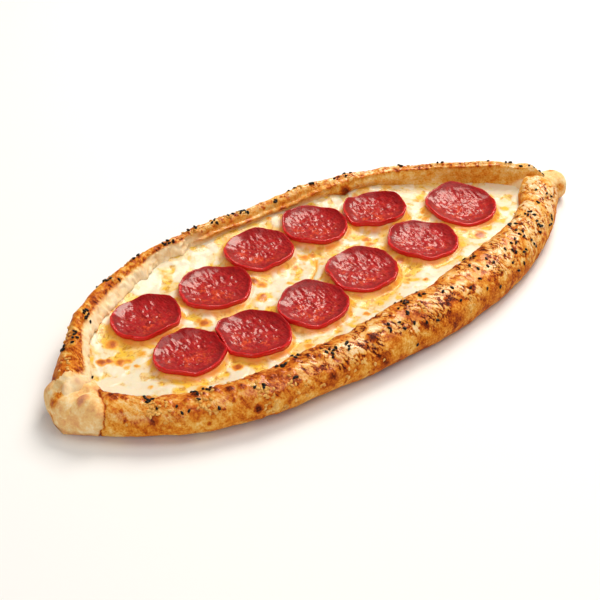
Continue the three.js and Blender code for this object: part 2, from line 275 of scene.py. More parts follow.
def joined(name: str, parts: Sequence[bpy.types.Object], layers: Sequence[str]) -> bpy.types.Object:
    """The parts joined to one closed piece. Where their skins cross, each layer takes its neighbours' mean.

    Args:
        name: The name of the piece.
        parts: Closed pieces that overlap, each with the layers. They are removed.
        layers: The names of the attributes to keep.

    Returns:
        The new piece.
    """
    whole = parts[0]
    for part in parts:
        write_layer(part.data, "known", np.ones(len(part.data.vertices)))
        if part is not whole:
            union = whole.modifiers.new("union", "BOOLEAN")
            union.operation, union.solver, union.object = "UNION", "MANIFOLD", part
    evaluated = whole.evaluated_get(bpy.context.evaluated_depsgraph_get())
    mesh = bpy.data.meshes.new_from_object(evaluated)
    mesh.name = name
    edges = np.zeros(len(mesh.edges) * 2, np.int64)
    mesh.edges.foreach_get("vertices", edges)
    edges = edges.reshape(-1, 2)
    known = read_layer(mesh, "known") > 0.5
    ends = np.vstack([edges, edges[:, ::-1]])
    ends = ends[known[ends[:, 1]] & ~known[ends[:, 0]]]
    for layer in layers:
        values = read_layer(mesh, layer)
        total, count = np.zeros(len(values)), np.zeros(len(values))
        np.add.at(total, ends[:, 0], values[ends[:, 1]])
        np.add.at(count, ends[:, 0], 1)
        write_layer(mesh, layer, np.where(known, values, total / np.maximum(count, 1)))
    mesh.attributes.remove(mesh.attributes["known"])
    for part in parts:
        bpy.data.objects.remove(part)
    return linked(name, mesh)


def place(piece: bpy.types.Object, material: bpy.types.Material, node: str) -> None:
    """Dresses a piece, lets it ride on the pide's one body and stand for its node.

    Args:
        piece: The piece.
        material: What it is made of.
        node: The node that it stands for.
    """
    piece.data.materials.clear()
    piece.data.materials.append(material)
    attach(piece, "root")
    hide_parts(node)
    LOG.info("%s: %d faces", piece.name, len(piece.data.polygons))


# ----------------------- The shape of the dough, the same as that of the solid -----------------------

PLACES = (-130.0, -50.0, 50.0, 130.0)
WIDEST_X = -12.0
# How thick the dough is under the filling, and the clearance between things that lie on each other.
SHEET = 6.5
GAP = 0.35
# The section's keys run from 0, in the middle of the underside, round the rolled rim and across the hollow to
# the folded rim: the top of each rim, the middle of the hollow and how many keys there are.
ROLLED_TOP = 5
HOLLOW = 11
FOLDED_TOP = 17
KEYS = 22


def along(x: Array, sizes: Sequence[float]) -> Array:
    """A size given at each of the places along the boat, blended smoothly between them."""
    value = np.full_like(np.asarray(x, float), sizes[0])
    for low, high, size in zip(PLACES, PLACES[1:], sizes[1:]):
        value = mix(value, size, smooth(x, low, high))
    return value


def wobble(x: Array, phase: float) -> Array:
    """The soft unevenness of hand-shaped dough: three sines, each shorter and weaker than the last."""
    return (
        0.55 * np.sin(x / 17 + phase)
        + 0.3 * np.sin(x / 9.1 + 2.3 * phase)
        + 0.15 * np.sin(x / 4.7 - phase)
    )


class Fold(NamedTuple):
    """How much further in and down a rim's lip hangs at some places, in millimetres."""

    inward: Any = 0.0
    down: Any = 0.0


@dataclass(frozen=True)
class Rim:
    """One long side of the boat, with each size at the places along it."""

    side: int
    breadth: tuple[float, ...]
    height: tuple[float, ...]
    foot: tuple[float, ...]
    overhang: tuple[float, ...]
    lip_height: float
    shoulder_height: float
    recess: float
    bunch_blunt: float
    bunch_sharp: float


ROLLED = Rim(
    side=-1,
    breadth=(20.5, 27, 32, 24),
    height=(21, 23, 24, 22),
    foot=(8.5, 6, 3.5, 3.5),
    overhang=(0, 0, 0, 0),
    lip_height=0.6,
    shoulder_height=0.93,
    recess=0.5,
    bunch_blunt=0.1,
    bunch_sharp=0.05,
)
FOLDED = Rim(
    side=1,
    breadth=(12, 9.5, 8.5, 6.5),
    height=(23.5, 26, 27, 26),
    foot=(5, 5, 5, 4),
    overhang=(0.5, 2, 2, 0),
    lip_height=0.8,
    shoulder_height=0.95,
    recess=1.5,
    bunch_blunt=1,
    bunch_sharp=0,
)


class RimAt(NamedTuple):
    """A rim's sizes at some places: from the centre line to its outer and inner edge, and the rest."""

    half: Array
    inner: Array
    breadth: Array
    height: Array
    overhang: Array
    foot: Array


@dataclass(frozen=True)
class Knob:
    """A pinched end of the boat: a squared ball, dimpled on top. Its radii are along X and Y, up and down."""

    at: tuple[float, float, float]
    radii: tuple[float, float, float, float]
    turn: float
    square: float
    dimple_at: tuple[float, float]
    dimple_depth: float
    dimple_width: float


BLUNT_KNOB = Knob((-174.5, -2.5, 8.5), (14.5, 17.5, 13, 9.5), -0.15, 0.8, (2, 6), 2, 7)
SHARP_KNOB = Knob((177.5, 3, 9), (11.5, 9.5, 9, 9.3), -0.35, 0.85, (-2, 0), 0.8, 5)


@dataclass(frozen=True)
class Boat:
    """The boat of dough: its outline, its two rims and the curve of its section."""

    half_width_most: float = 78.2
    blunt_reach: float = 180
    blunt_power: float = 3.7
    sharp_reach: float = 194
    sharp_power: float = 2.5
    end_share: float = 0.975
    seam_width: float = 2
    seam_opens: float = 14

    def reach_and_power(self, x: Array) -> tuple[Array, Array]:
        """How far the outline goes towards x's end, and the power that it narrows by."""
        blunt = x < WIDEST_X
        reach = np.where(blunt, self.blunt_reach, self.sharp_reach)
        return reach, np.where(blunt, self.blunt_power, self.sharp_power)

    def share(self, x: Array) -> Array:
        """How far x lies towards its end of the outline: 0 at the widest place, 1 at the end."""
        return np.abs(x - WIDEST_X) / self.reach_and_power(x)[0]

    def half_width(self, x: Array) -> Array:
        """Half the width at x: the most, times 1 - share to the end's power."""
        return self.half_width_most * (1 - self.share(x) ** self.reach_and_power(x)[1])

    def slant(self, x: Array) -> Array:
        """How much longer a straight line across a rim is when drawn along Y."""
        reach, power = self.reach_and_power(x)
        return np.hypot(1, self.half_width_most * power / reach * self.share(x) ** (power - 1))

    def centre(self, x: Array) -> Array:
        """The line midway between the rims, which drifts to one side by each end."""
        return 3.3 - 9.3 * fall(x, -195, -100) - 5 * smooth(x, 90, 165)

    def edges(self, rim: Rim, x: Array) -> tuple[Array, Array]:
        """A rim's outer edge, and its inner edge before it meets the other rim, from the centre line."""
        outer = self.half_width(x) + 0.7 * wobble(x, 3 + rim.side)
        bunch = np.where(x < WIDEST_X, rim.bunch_blunt, rim.bunch_sharp)
        spread = (1 + bunch * smooth(self.share(x), 0.74, 0.86)) * (1 + 0.05 * wobble(x, 1 - rim.side))
        return outer, outer - along(x, rim.breadth) * self.slant(x) * spread

    def hollow(self, x: Array) -> tuple[Array, Array]:
        """The middle of the hollow, from the centre line, and half its width."""
        folded_inner = self.edges(FOLDED, x)[1]
        outer, rolled_inner = self.edges(ROLLED, x)
        middle = np.clip((folded_inner - rolled_inner) / 2, -0.4 * outer, 0.4 * outer)
        half = np.maximum((folded_inner + rolled_inner) / 2, np.minimum(self.seam_width, 0.3 * outer))
        return middle, half

    def rim_at(self, rim: Rim, x: Array) -> RimAt:
        """A rim's sizes at each x."""
        outer = self.edges(rim, x)[0]
        middle, half = self.hollow(x)
        inner = np.minimum(half + rim.side * middle, 0.85 * outer)
        drop = 1 - 0.6 * smooth(self.share(x), 0.9, 1)
        return RimAt(
            half=outer,
            inner=inner,
            breadth=outer - inner,
            height=(along(x, rim.height) + 0.9 * wobble(x, 5 * rim.side)) * drop,
            overhang=along(x, rim.overhang) * (1 + 0.35 * wobble(x, 2)),
            foot=np.minimum(along(x, rim.foot), 0.2 * outer),
        )

    def seam_height(self, x: Array) -> Array:
        """The height of the seam where the rims are pinched shut."""
        return 0.8 * np.minimum(self.rim_at(ROLLED, x).height, self.rim_at(FOLDED, x).height)

    def openness(self, x: Array) -> Array:
        """How far the hollow has opened, from 0 where the rims are pinched shut to 1."""
        return smooth(self.hollow(x)[1], self.seam_width, self.seam_width + self.seam_opens / 2)

    def half_section(self, rim: Rim, x: Array, fold: Fold) -> Array:
        """Half of the section's keys, as in the solid, with the lip drawn out by the fold.

        Args:
            rim: Which rim.
            x: Where the sections stand.
            fold: How much further in and down the lip hangs at each x.

        Returns:
            An array of x by key by (distance from the centre line, height).
        """
        r = self.rim_at(rim, x)
        opened = self.openness(x)
        middle = rim.side * self.hollow(x)[0]
        width = r.inner - middle
        seam = self.seam_height(x)
        lip = rim.lip_height * r.height - fold.down
        under_lip = np.minimum(mix(SHEET, lip, 0.6), lip - 1.6)
        shoulder = r.half - 0.82 * r.breadth - 0.35 * fold.inward

        def inside(closed_out: float, to_seam: float, out: Array, up: Array) -> tuple[Array, Array]:
            """A key of the inner wall, from where the rims are pinched shut to where it is out and up."""
            height = mix(mix(0.88 * r.height, seam, to_seam), up, opened)
            return middle + mix(width * closed_out, out, opened), height

        keys = [
            (r.half - 2.6 * r.foot, 0 * x),
            (r.half - r.foot, 0.07 * r.height),
            (r.half, 0.42 * r.height),
            (r.half - 0.12 * r.breadth, 0.8 * r.height),
            (r.half - 0.45 * r.breadth, r.height),
            (shoulder, rim.shoulder_height * r.height - 0.3 * fold.down),
            inside(1, 0, width - r.overhang - fold.inward, lip),
            inside(0.85, 0.5, width + rim.recess, under_lip),
            inside(0.65, 0.85, width + 0.3 * rim.recess, SHEET + 2 + 0 * x),
            inside(0.4, 1, np.maximum(width - 4.5, 0.7 * width), SHEET + 0 * x),
        ]
        return np.stack([np.stack(np.broadcast_arrays(*key), -1) for key in keys], 1)

    def keys(self, x: Array, fold: Fold) -> Array:
        """The keys of each section, as (y, z), with the folded rim's lip drawn out by the fold."""
        centre = self.centre(x)[:, None]
        rolled = self.half_section(ROLLED, x, Fold())
        folded = self.half_section(FOLDED, x, fold)[:, ::-1]
        floor = mix(self.seam_height(x), SHEET, self.openness(x))
        middle = centre + self.hollow(x)[0][:, None]
        y = np.hstack([centre, centre - rolled[..., 0], middle, centre + folded[..., 0]])
        z = np.hstack([0 * centre, rolled[..., 1], floor[:, None], folded[..., 1]])
        return np.stack([y, z], -1)

    @staticmethod
    def through(keys: Array, rounds: Array) -> Array:
        """Points on the closed centripetal Catmull-Rom curve through each section's keys.

        Between two keys it is the cubic with each key's slope, which is taken from the chords on its two
        sides with knots spaced by the square root of the chords' lengths.

        Args:
            keys: An array of section by key by (y, z).
            rounds: Where on the curve, in keys from the first.

        Returns:
            An array of section by round by (y, z).
        """
        first = np.floor(rounds).astype(int)
        t = (rounds - first)[None, :, None]
        p0, p1, p2, p3 = (keys[:, (first + step) % KEYS] for step in (-1, 0, 1, 2))

        def knot(a: Array, b: Array) -> Array:
            """The square root of the chord's length."""
            return np.sum((a - b) ** 2, -1, keepdims=True) ** 0.25

        d1 = knot(p1, p2)
        d1 = np.where(d1 < 1e-4, 1.0, d1)
        d0, d2 = (np.where(d < 1e-4, d1, d) for d in (knot(p0, p1), knot(p2, p3)))
        m1 = ((p1 - p0) / d0 - (p2 - p0) / (d0 + d1) + (p2 - p1) / d1) * d1
        m2 = ((p2 - p1) / d1 - (p3 - p1) / (d1 + d2) + (p3 - p2) / d2) * d1
        square = -3 * p1 + 3 * p2 - 2 * m1 - m2
        cube = 2 * p1 - 2 * p2 + m1 + m2
        return p1 + m1 * t + square * t**2 + cube * t**3

    def skin(self, x: Array, rounds: Array, fold: Fold) -> Array:
        """The dough's skin at each x and round, flat underneath, as an array of points."""
        flat = self.through(self.keys(x, fold), rounds)
        points = np.concatenate([np.broadcast_to(x[:, None, None], flat.shape[:2] + (1,)), flat], -1)
        points[..., 2] = np.maximum(points[..., 2], 0)
        return points


BOAT = Boat()


# ------------------------------------------ The baked dough ------------------------------------------


class Spot(NamedTuple):
    """A blister or a scorched place: its middle, its radius, how far it rises and how brown it is."""

    at: tuple[float, float, float]
    radius: float
    rise: float
    brown: float


class Ground(NamedTuple):
    """The boat's bare skin before its relief, and where each of its points lies.

    The round is counted in the section's keys. Flat is the skin unrolled: along the rim, then round it.
    """

    points: Array
    x: Array
    y: Array
    z: Array
    round: Array
    rolled: Array
    flat: Array


class Wall(NamedTuple):
    """The folded rim's inner wall where it stands open: where its edge is, in keys, and four shares.

    They are how open the wall is, the ledge along its edge, the egg wash pooled above it and its browning.
    """

    edge: Array
    open: Array
    ledge: Array
    pooled: Array
    browned: Array


def raised(base: Array, relief: Array) -> Array:
    """A skin moved out along its normals by the relief, which fades away where the skin meets the table."""
    relief = relief * smooth(base[..., 2], 0.2, 2.5)
    points = base + outward_of(base) * relief[..., None]
    points[..., 2] = np.maximum(points[..., 2], 0)
    return points


@dataclass
class Crust:
    """The baked dough in one piece: the boat and its two knobs, wrinkled, blistered, folded and browned."""

    stations: int = 700
    # Samples in each stretch of the section, from the middle of the underside round the rolled rim, across
    # the hollow and round the folded rim.
    samples: tuple[int, ...] = (2, 3, 8, 9, 12, 13, 11, 5, 2, 1, 1, 1, 2, 4, 10, 11, 8, 6, 5, 4, 2, 2)
    # How brown the dough is at each of the section's keys, from 0, raw, to 1, scorched, then the first again.
    browning: tuple[float, ...] = (
        0.5, 0.5, 0.5, 0.52, 0.5, 0.5, 0.56, 0.42, 0.2, 0.15, 0.15, 0.15,
        0.15, 0.15, 0.17, 0.3, 0.46, 0.54, 0.54, 0.5, 0.42, 0.46, 0.5,
    )
    # How far the folded lip hangs in over the cheese, or is drawn back, and how far down: x, in, down.
    flap_corners: tuple[tuple[float, float, float], ...] = (
        (-166, 0, 0), (-150, 4, 2), (-137, 6, 3.5), (-124, 6.2, 3.5), (-113, 4.8, 3.5), (-98, 1.2, 3.5),
        (-91, 4, 4.4), (-84, -2.3, 0.8), (-73, -4.2, 0), (-68, -4, 0.5), (-62.7, 0, 3.6), (-55, -4.6, 0.2),
        (-33, -3.8, 0), (0, -3.6, 0), (30, -3.2, 0), (48, -1, 1), (56, 1.5, 2.5), (64, 0, 0), (180, 0, 0),
    )
    # How many small blisters are strewn over both rims, and how many stand in a row on the rolled crest.
    strewn_blisters: int = 260
    row_of_blisters: int = 14
    # Between which x the blisters are strewn and the row stands, and between which keys, on each rim.
    blisters_over: tuple[float, float] = (-165, 160)
    row_over: tuple[float, float] = (-136, -62)
    blisters_on_rolled: tuple[float, float] = (2.4, 6.3)
    blisters_on_folded: tuple[float, float] = (15.7, 19.2)
    row_on_rolled: tuple[float, float] = (5.0, 5.6)
    spots: tuple[Spot, ...] = (
        Spot((-163.2, -21.9, 20.8), 5.5, 0.7, 0.74),
        Spot((-158.5, -25.5, 20.5), 4, 0.5, 0.68),
        Spot((-29, -65.3, 21.8), 4.6, 1.5, 1.0),
        Spot((-60.5, -71.7, 16.1), 4.6, 1.2, 0.95),
        Spot((-53, -72.4, 16.5), 3, 0.7, 0.85),
        Spot((-105.5, -67.6, 14.1), 4.6, 0.8, 0.92),
        Spot((-153.5, -45.5, 15.4), 5, 0.8, 0.8),
        Spot((56, 64, 20), 5.5, 0.6, 0.88),
        Spot((-176.3, -16.4, 19.7), 4, 0.3, 0.62),
        Spot((-183, -15.4, 16), 3.2, 0.1, 0.44),
        Spot((-172.7, -3.3, 21.7), 3, 0.2, 0.55),
        Spot((-187, -3.8, 16), 4.6, 0.1, 0.6),
        Spot((-184, -3.2, 19.5), 4, 0.1, 0.6),
        Spot((-189, -3.6, 7.6), 4, 0, 0.58),
        Spot((177, -9, 12), 6, 0, 0.55),
        Spot((172, -7, 9), 6, 0, 0.6),
        Spot((184, -4, 7), 5, 0, 0.5),
        Spot((181, 6, 18), 3, 0.2, 0.5),
    )
    # The blunt knob's ridge, where its dough was pinched, and the dent beside it.
    knob_ridge: tuple[tuple[float, float, float], ...] = (
        (-173.5, 2.5, 22),
        (-170.6, -6.5, 21.3),
        (-169.2, -13.8, 20.6),
        (-170.7, -21.1, 20.2),
        (-172.4, -27.5, 17),
        (-174.2, -29.7, 11.5),
    )
    knob_dent: tuple[float, float, float] = (-175, -2.5, 21.5)
    # The edge of the knob's dough where it laps over the rolled rim: -y and x.
    lap_edge: tuple[tuple[float, ...], ...] = (
        (-4, 7, 12, 17.1, 21, 24.9, 28, 30, 33),
        (-170, -166.8, -166, -167.4, -168, -169.7, -172.3, -174, -176),
    )

    def stations_x(self) -> Array:
        """Where the sections stand: evenly in the middle and closer towards the ends, as in the solid."""
        even = np.linspace(0, 1, self.stations)
        first = WIDEST_X - BOAT.end_share * BOAT.blunt_reach
        last = WIDEST_X + BOAT.end_share * BOAT.sharp_reach
        return mix(first, last, mix(even, (1 - np.cos(np.pi * even)) / 2, 0.15))

    def rounds(self) -> Array:
        """Where the samples lie round the section, in keys."""
        return np.concatenate([key + np.arange(count) / count for key, count in enumerate(self.samples)])

    def flap(self, x: Array) -> Fold:
        """How the folded rim's lip is drawn out or back, with pointed corners."""
        places, inward, down = zip(*self.flap_corners)
        return Fold(np.interp(x, places, inward), np.interp(x, places, down))

    def small_blisters(self) -> list[Spot]:
        """Random blisters over both rims, and a row along the rolled rim's inner crest."""
        rng = np.random.default_rng(5)
        count, row = self.strewn_blisters, self.row_of_blisters
        strewn = rng.uniform(*self.blisters_over, count)
        x = np.concatenate([strewn, np.linspace(*self.row_over, row) + rng.uniform(-2, 2, row)])
        rolled = rng.random(count) < 0.62
        on_rolled = rng.uniform(*self.blisters_on_rolled, count)
        rounds = np.where(rolled, on_rolled, rng.uniform(*self.blisters_on_folded, count))
        rounds = np.concatenate([rounds, rng.uniform(*self.row_on_rolled, row)])
        radii = np.concatenate([rng.uniform(0.9, 1.5, count) ** 2, rng.uniform(2.6, 4.2, row)])
        browns = np.concatenate([rng.uniform(0.64, 0.84, count), rng.uniform(0.76, 0.9, row)])
        heights = radii * np.repeat([0.25, 0.4], [count, row]) * browns
        keys = BOAT.keys(x, self.flap(x))
        across = [BOAT.through(keys[i : i + 1], rounds[i : i + 1])[0, 0] for i in range(count + row)]
        middles = np.column_stack([x, across])
        return [Spot(*values) for values in zip(middles, radii, heights, browns)]

    def spotted(self, points: Array, spots: Sequence[Spot]) -> tuple[Array, Array]:
        """How far the spots raise each point and how brown they make it."""
        middles, radii = [np.array(s.at) for s in spots], [s.radius for s in spots]
        ragged = points + 0.8 * jostled(points, 3.2, 70)
        rise = rises(points, middles, radii, [s.rise for s in spots], 0.3)
        brown = rises(ragged, middles, [1.25 * r for r in radii], [s.brown for s in spots], 0.35)
        return rise, brown

    @cached_property
    def ground(self) -> Ground:
        """The boat's bare skin, unrolled by the lengths along each rim's top and round each section."""
        stations, rounds = self.stations_x(), self.rounds()
        base = BOAT.skin(stations, rounds, self.flap(stations))
        r = np.broadcast_to(rounds, base.shape[:2])
        rolled = r < HOLLOW
        crowns = (base[:, np.searchsorted(rounds, top)] for top in (ROLLED_TOP, FOLDED_TOP))
        runs = [np.cumsum(np.linalg.norm(np.diff(c, axis=0, prepend=c[:1]), axis=1)) for c in crowns]
        # The folded rim's lengths start far from the rolled rim's, so that no pattern runs across the hollow.
        s = np.where(rolled, runs[0][:, None], runs[1][:, None] + 900)
        w = np.cumsum(np.linalg.norm(np.diff(base, axis=1, prepend=base[:, :1]), axis=-1), 1)
        x, y, z = np.moveaxis(base, -1, 0)
        return Ground(base, x, y, z, r, rolled, np.stack([s, w, np.zeros_like(s)], -1))

    @cached_property
    def crinkles(self) -> tuple[Array, Array, Array, Array]:
        """Where the rims are glazed, in which patches, how crinkled the glaze is there, and its creases.

        A crease lies where noise, longer round the rim than along it, sheared and bent, is near nought.
        """
        _, x, _, _, r, rolled, flat = self.ground
        glazed = smooth(r, 3.3, 4.2) * fall(r, 6.3, 6.9) + smooth(r, 15.6, 16.1) * fall(r, 18, 19)
        patchy = smooth(Lumps(15, 3, 2).at(flat), -0.5, 0.1)
        crinkled = rolled * glazed * mix(0.3, 1.0, smooth(x, -105, -30)) * patchy
        glazed *= mix(0.2, 1, np.maximum(rolled, smooth(x, -100, -40)))
        crinkled = np.maximum(crinkled, 0.6 * glazed * ~rolled * patchy)
        w = flat[..., 1]
        bent = flat + np.stack([0.45 * w + 2.6 * Lumps(7, 8).at(flat), 2 * Lumps(5, 9).at(flat), 0 * w], -1)
        crease = fall(np.abs(Lumps(3.1, 11).at(bent, (1, 2.3, 1))), 0, 0.2)
        crease *= smooth(Lumps(4.5, 12).at(bent), -0.35, 0.05)
        return glazed, patchy, crinkled, crease

    @cached_property
    def torn_flap(self) -> tuple[Array, Array, Array]:
        """The folded rim's raw flap by the blunt end, the ribs that it is crumpled into and its torn edge."""
        base, x, _, _, r, _, _ = self.ground
        raw = fall(x, -58, -42) * smooth(r, 13.6, 14.4) * fall(r, 15.7, 16.15)
        crumpled = base + 3 * jostled(base, 9, 55, 2)
        ribs = 1 - 2.8 * np.abs(Lumps(12, 21, 2).at(crumpled, (1, 1, 1.6)))
        ribs = mix(ribs, 2 * Lumps(4, 22, 2).at(crumpled), 0.35)
        return raw, ribs, fall(x, -60, -35) * bell(r - 16.15, 0.42)

    @cached_property
    def wall(self) -> Wall:
        """The folded rim's golden top ends in a thin, uneven edge above its pale inner wall.

        Egg wash has pooled on its broad top in the middle, and towards the sharp end the wall is browned.
        """
        _, x, _, _, r, rolled, flat = self.ground
        ragged = 0.16 * Lumps(7, 23, 2).at(flat) + 0.1 * Lumps(2.4, 24).at(flat)
        edge = mix(14.85, 15.72, smooth(x, 20, 60)) + ragged
        opened = ~rolled * smooth(x, -62, -45)
        pooled = opened * fall(x, 20, 60) * smooth(r - edge, -0.1, 0.2) * fall(r, 17, 18)
        return Wall(edge, opened, opened * bell(r - edge - 0.12, 0.2), pooled, opened * smooth(x, 40, 90))

    @cached_property
    def lap(self) -> tuple[Array, Array]:
        """How far in under the edge of the blunt knob's dough each point lies, and whether it is covered."""
        base, x, y, z = self.ground[:4]
        lap = np.interp(-y, *self.lap_edge) + 1.6 * Lumps(5, 54, 2).at(base)
        lap -= 4.5 * fall(z, 1, 13) * smooth(-y, 20, 27)
        return lap - x, smooth(lap - x, -0.2, 1.0) * (y < 4)

    def relief(self) -> Array:
        """How far each of the boat's points stands out of the bare skin."""
        base, x, y, z, r, rolled, flat = self.ground
        _, _, crinkled, crease = self.crinkles
        raw, ribs, torn = self.torn_flap
        under, tip = self.lap
        crack = bell(-under - 0.5, 0.9) * smooth(-y, 0, 8)
        return (
            0.75 * Lumps(21, 1, 2).at(base)
            + 0.35 * Lumps(7, 2, 2).at(base)
            + 0.08 * Lumps(1.8, 4).at(base)
            + 0.6 * crinkled * (0.35 - crease)
            + 1.2 * bell(r - 6.2, 0.55) * Lumps(7, 6, 2).at(base)
            + mix(1.7, 0.9, smooth(x, 20, 60)) * self.wall.ledge
            + 2.2 * tip * smooth(under, 0.2, 4.5) * smooth(z, 2, 11)
            + 1.5 * raw * ribs
            + 2.4 * rolled * smooth(x, 138, 156) * bell(r - 6.7, 0.9)
            + 1.1 * torn * Lumps(2.6, 25, 2).at(flat, (1, 0.8, 1))
            + self.marks[0]
            - 1.3 * crack
        )

    @cached_property
    def marks(self) -> tuple[Array, Array]:
        """How far all the boat's spots and blisters raise it, and how brown they make it."""
        return self.spotted(self.ground.points, list(self.spots) + self.small_blisters())

    def baking(self) -> Array:
        """How brown each of the boat's points is: the rims, then the walls, then the ends and the spots."""
        base, x, y, z, r, rolled, flat = self.ground
        glazed, _, crinkled, crease = self.crinkles
        raw, ribs, torn = self.torn_flap
        wall, (under, tip) = self.wall, self.lap

        bake = np.interp(r, np.arange(KEYS + 1), self.browning)
        bake -= rolled * 0.09 * fall(x, -160, -60) * smooth(r, 2, 3)
        # Paler glaze and a painted highlight: the glazed rolled rim is painted paler towards the sharp end.
        bake -= rolled * glazed * 0.2 * smooth(x, 50, 140)
        bake -= ~rolled * 0.1 * smooth(x, 120, 160) * smooth(r, 15, 16)
        bake -= ~rolled * 0.07 * smooth(x, -60, 0) * smooth(r, 15.6, 16.4)
        bake += (
            0.2 * Lumps(17, 31, 2).at(flat)
            + 0.16 * Lumps(6, 32, 2).at(flat)
            + 0.06 * Lumps(2.1, 33).at(flat)
        )
        # The second term, a darker line along the rolled rim's inner edge: partly browning and partly painted
        # shade where the rim stands over the cheese.
        bake += crinkled * (0.7 * crease - 0.19) + rolled * 0.14 * bell(r - 6.5, 0.3)

        bake += 0.34 * torn * smooth(Lumps(3, 26, 2).at(flat), -0.35, 0.3)
        crumpled = 0.1 + 0.3 * Lumps(3.4, 27, 2).at(flat) - 0.12 * np.maximum(ribs, -1)
        bake = mix(bake, crumpled, 0.9 * raw)
        back_left = ~rolled * fall(x, -100, -40) * smooth(r, 15.8, 16.6)
        bake += back_left * (0.26 * Lumps(5, 39, 2).at(flat) - 0.04)

        shaded = mix(0.34, 0.27, smooth(x, 40, 70)) + 0.12 * smooth(x, 110, 150)
        shaded = mix(shaded + 0.07 * Lumps(14, 28, 2).at(flat), bake, smooth(r - wall.edge, -0.06, 0.1))
        bake = mix(bake, shaded, wall.open * smooth(r + 1.1 * wall.browned, 13, 14))
        bake = mix(bake, 0.33 + 0.16 * Lumps(5, 37, 2).at(flat), 0.75 * wall.pooled)
        bake += 0.2 * wall.ledge * smooth(Lumps(5, 29, 2).at(flat), -0.4, 0.3)

        pale = smooth(x, 142, 156) * smooth(r, 5, 7) * fall(r, 16.5, 18) * (1 - 0.85 * bell(r - 13.4, 1.4))
        bake = mix(bake, 0.17 + 0.28 * Lumps(5, 38, 2).at(base), 0.8 * pale)
        knob = 0.25 + 0.22 * Lumps(7, 50, 2).at(base) + 0.12 * Lumps(2.6, 53, 2).at(base)
        bake = np.maximum(mix(bake, knob, tip), self.marks[1])
        bake += tip * 0.2 * fall(z, 1, 7)
        # Painted shade: the crack under the edge of the blunt knob's lapped dough is painted dark.
        bake += 0.4 * bell(-under - 0.4, 0.6) * smooth(-y, 0, 8)
        cream = mix(0.07, 0.0, smooth(x, -60, 60)) * (r < 3.4) * rolled * smooth(r, 2, 2.6)
        return bake - cream * smooth(Lumps(12, 36).at(flat), -0.3, 0.4)

    @cached_property
    def boat(self) -> tuple[Array, Layers]:
        """The boat's skin and its layers."""
        glazed, patchy, crinkled, _ = self.crinkles
        r, flat, wall, tip = self.ground.round, self.ground.flat, self.wall, self.lap[1]
        wash = np.maximum(glazed, wall.pooled) * mix(0.5, 1, patchy) * (1 - tip)
        inner = smooth(r, 7.2, 8) * fall(r + 1.6 * wall.browned, 14.2, 15)
        layers = {
            "bake": np.clip(self.baking(), 0, 1),
            "glaze": np.clip(wash * (1 - 0.6 * smooth(self.marks[1], 0.7, 0.9)), 0, 1),
            "crepe": np.clip(crinkled * (1 - tip), 0, 1),
            "raw": np.clip(self.torn_flap[0] + inner + 0.45 * tip, 0, 1),
            "run": flat[..., 0] * MM,
            "turn": flat[..., 1] * MM,
        }
        return raised(self.ground.points, self.relief()), layers

    def knob(self, knob: Knob, seed: int, rings: int, around: int) -> tuple[Array, Layers]:
        """A knob's skin and its layers.

        It is a unit ball whose three coordinates are raised to the knob's power, scaled by its radii, dimpled
        by a bell, turned about Z, and flat underneath.

        Args:
            knob: Its sizes.
            seed: For its lumps.
            rings: How many rings of points it has.
            around: How many points each ring has.

        Returns:
            The skin, as rings of points, and its layers.
        """
        polar = np.pi * (1 - (np.arange(rings) + 0.5) / rings)[:, None]
        angle = (-2 * np.pi * np.arange(around) / around)[None]
        ball = (np.sin(polar) * np.cos(angle), np.sin(polar) * np.sin(angle), np.cos(polar))
        unit = np.stack(np.broadcast_arrays(*ball), -1)
        soft = np.sign(unit) * np.abs(unit) ** knob.square
        along_x, along_y, above, below = knob.radii
        up = np.where(soft[..., 2] > 0, above, below)
        p = soft * np.stack([np.full_like(up, along_x), np.full_like(up, along_y), up], -1)
        off = np.hypot(p[..., 0] - knob.dimple_at[0], p[..., 1] - knob.dimple_at[1])
        p[..., 2] -= (p[..., 2] > 0) * knob.dimple_depth * bell(off, knob.dimple_width)
        cos, sin = math.cos(knob.turn), math.sin(knob.turn)
        base = np.stack([cos * p[..., 0] - sin * p[..., 1], sin * p[..., 0] + cos * p[..., 1], p[..., 2]], -1)
        base += np.array(knob.at)
        base[..., 2] = np.maximum(base[..., 2], 0)
        rise, brown = self.spotted(base, self.spots)
        relief = 0.9 * Lumps(9, seed, 2).at(base) + 0.2 * Lumps(3, seed + 5, 2).at(base) + rise
        relief += 1.5 * bell(distance_to_line(base, self.knob_ridge), 2.2)
        relief -= 1.3 * bell(np.linalg.norm(base - np.array(self.knob_dent), axis=-1), 3.2)
        bake = 0.23 + 0.3 * Lumps(7, seed + 9, 2).at(base)
        bake += 0.12 * Lumps(2.6, seed + 12, 2).at(base)
        bake += 0.2 * fall(base[..., 2], 1, 7)
        layers = {
            "bake": np.clip(np.maximum(bake, brown), 0, 1),
            "glaze": np.clip(0.1 + 0.3 * brown, 0, 1),
            "crepe": 0 * brown,
            "raw": 0.45 * fall(brown, 0.1, 0.5),
            "run": base[..., 0] * MM,
            "turn": base[..., 1] * MM,
        }
        return raised(base, relief), layers

    def build(self) -> bpy.types.Object:
        """The whole piece."""
        shapes = {
            "boat": self.boat,
            "blunt_knob": self.knob(BLUNT_KNOB, 41, 72, 120),
            "sharp_knob": self.knob(SHARP_KNOB, 51, 56, 90),
        }
        parts = [skin_piece(name, *shape) for name, shape in shapes.items()]
        return joined("baked_dough", parts, list(self.boat[1]))


# --------------------------------------------- The seeds ---------------------------------------------


class Clump(NamedTuple):
    """Some seeds together: where along the boat and round its section, how many and how far spread in mm."""

    x: float
    round: float
    count: int
    spread: float = 4.0


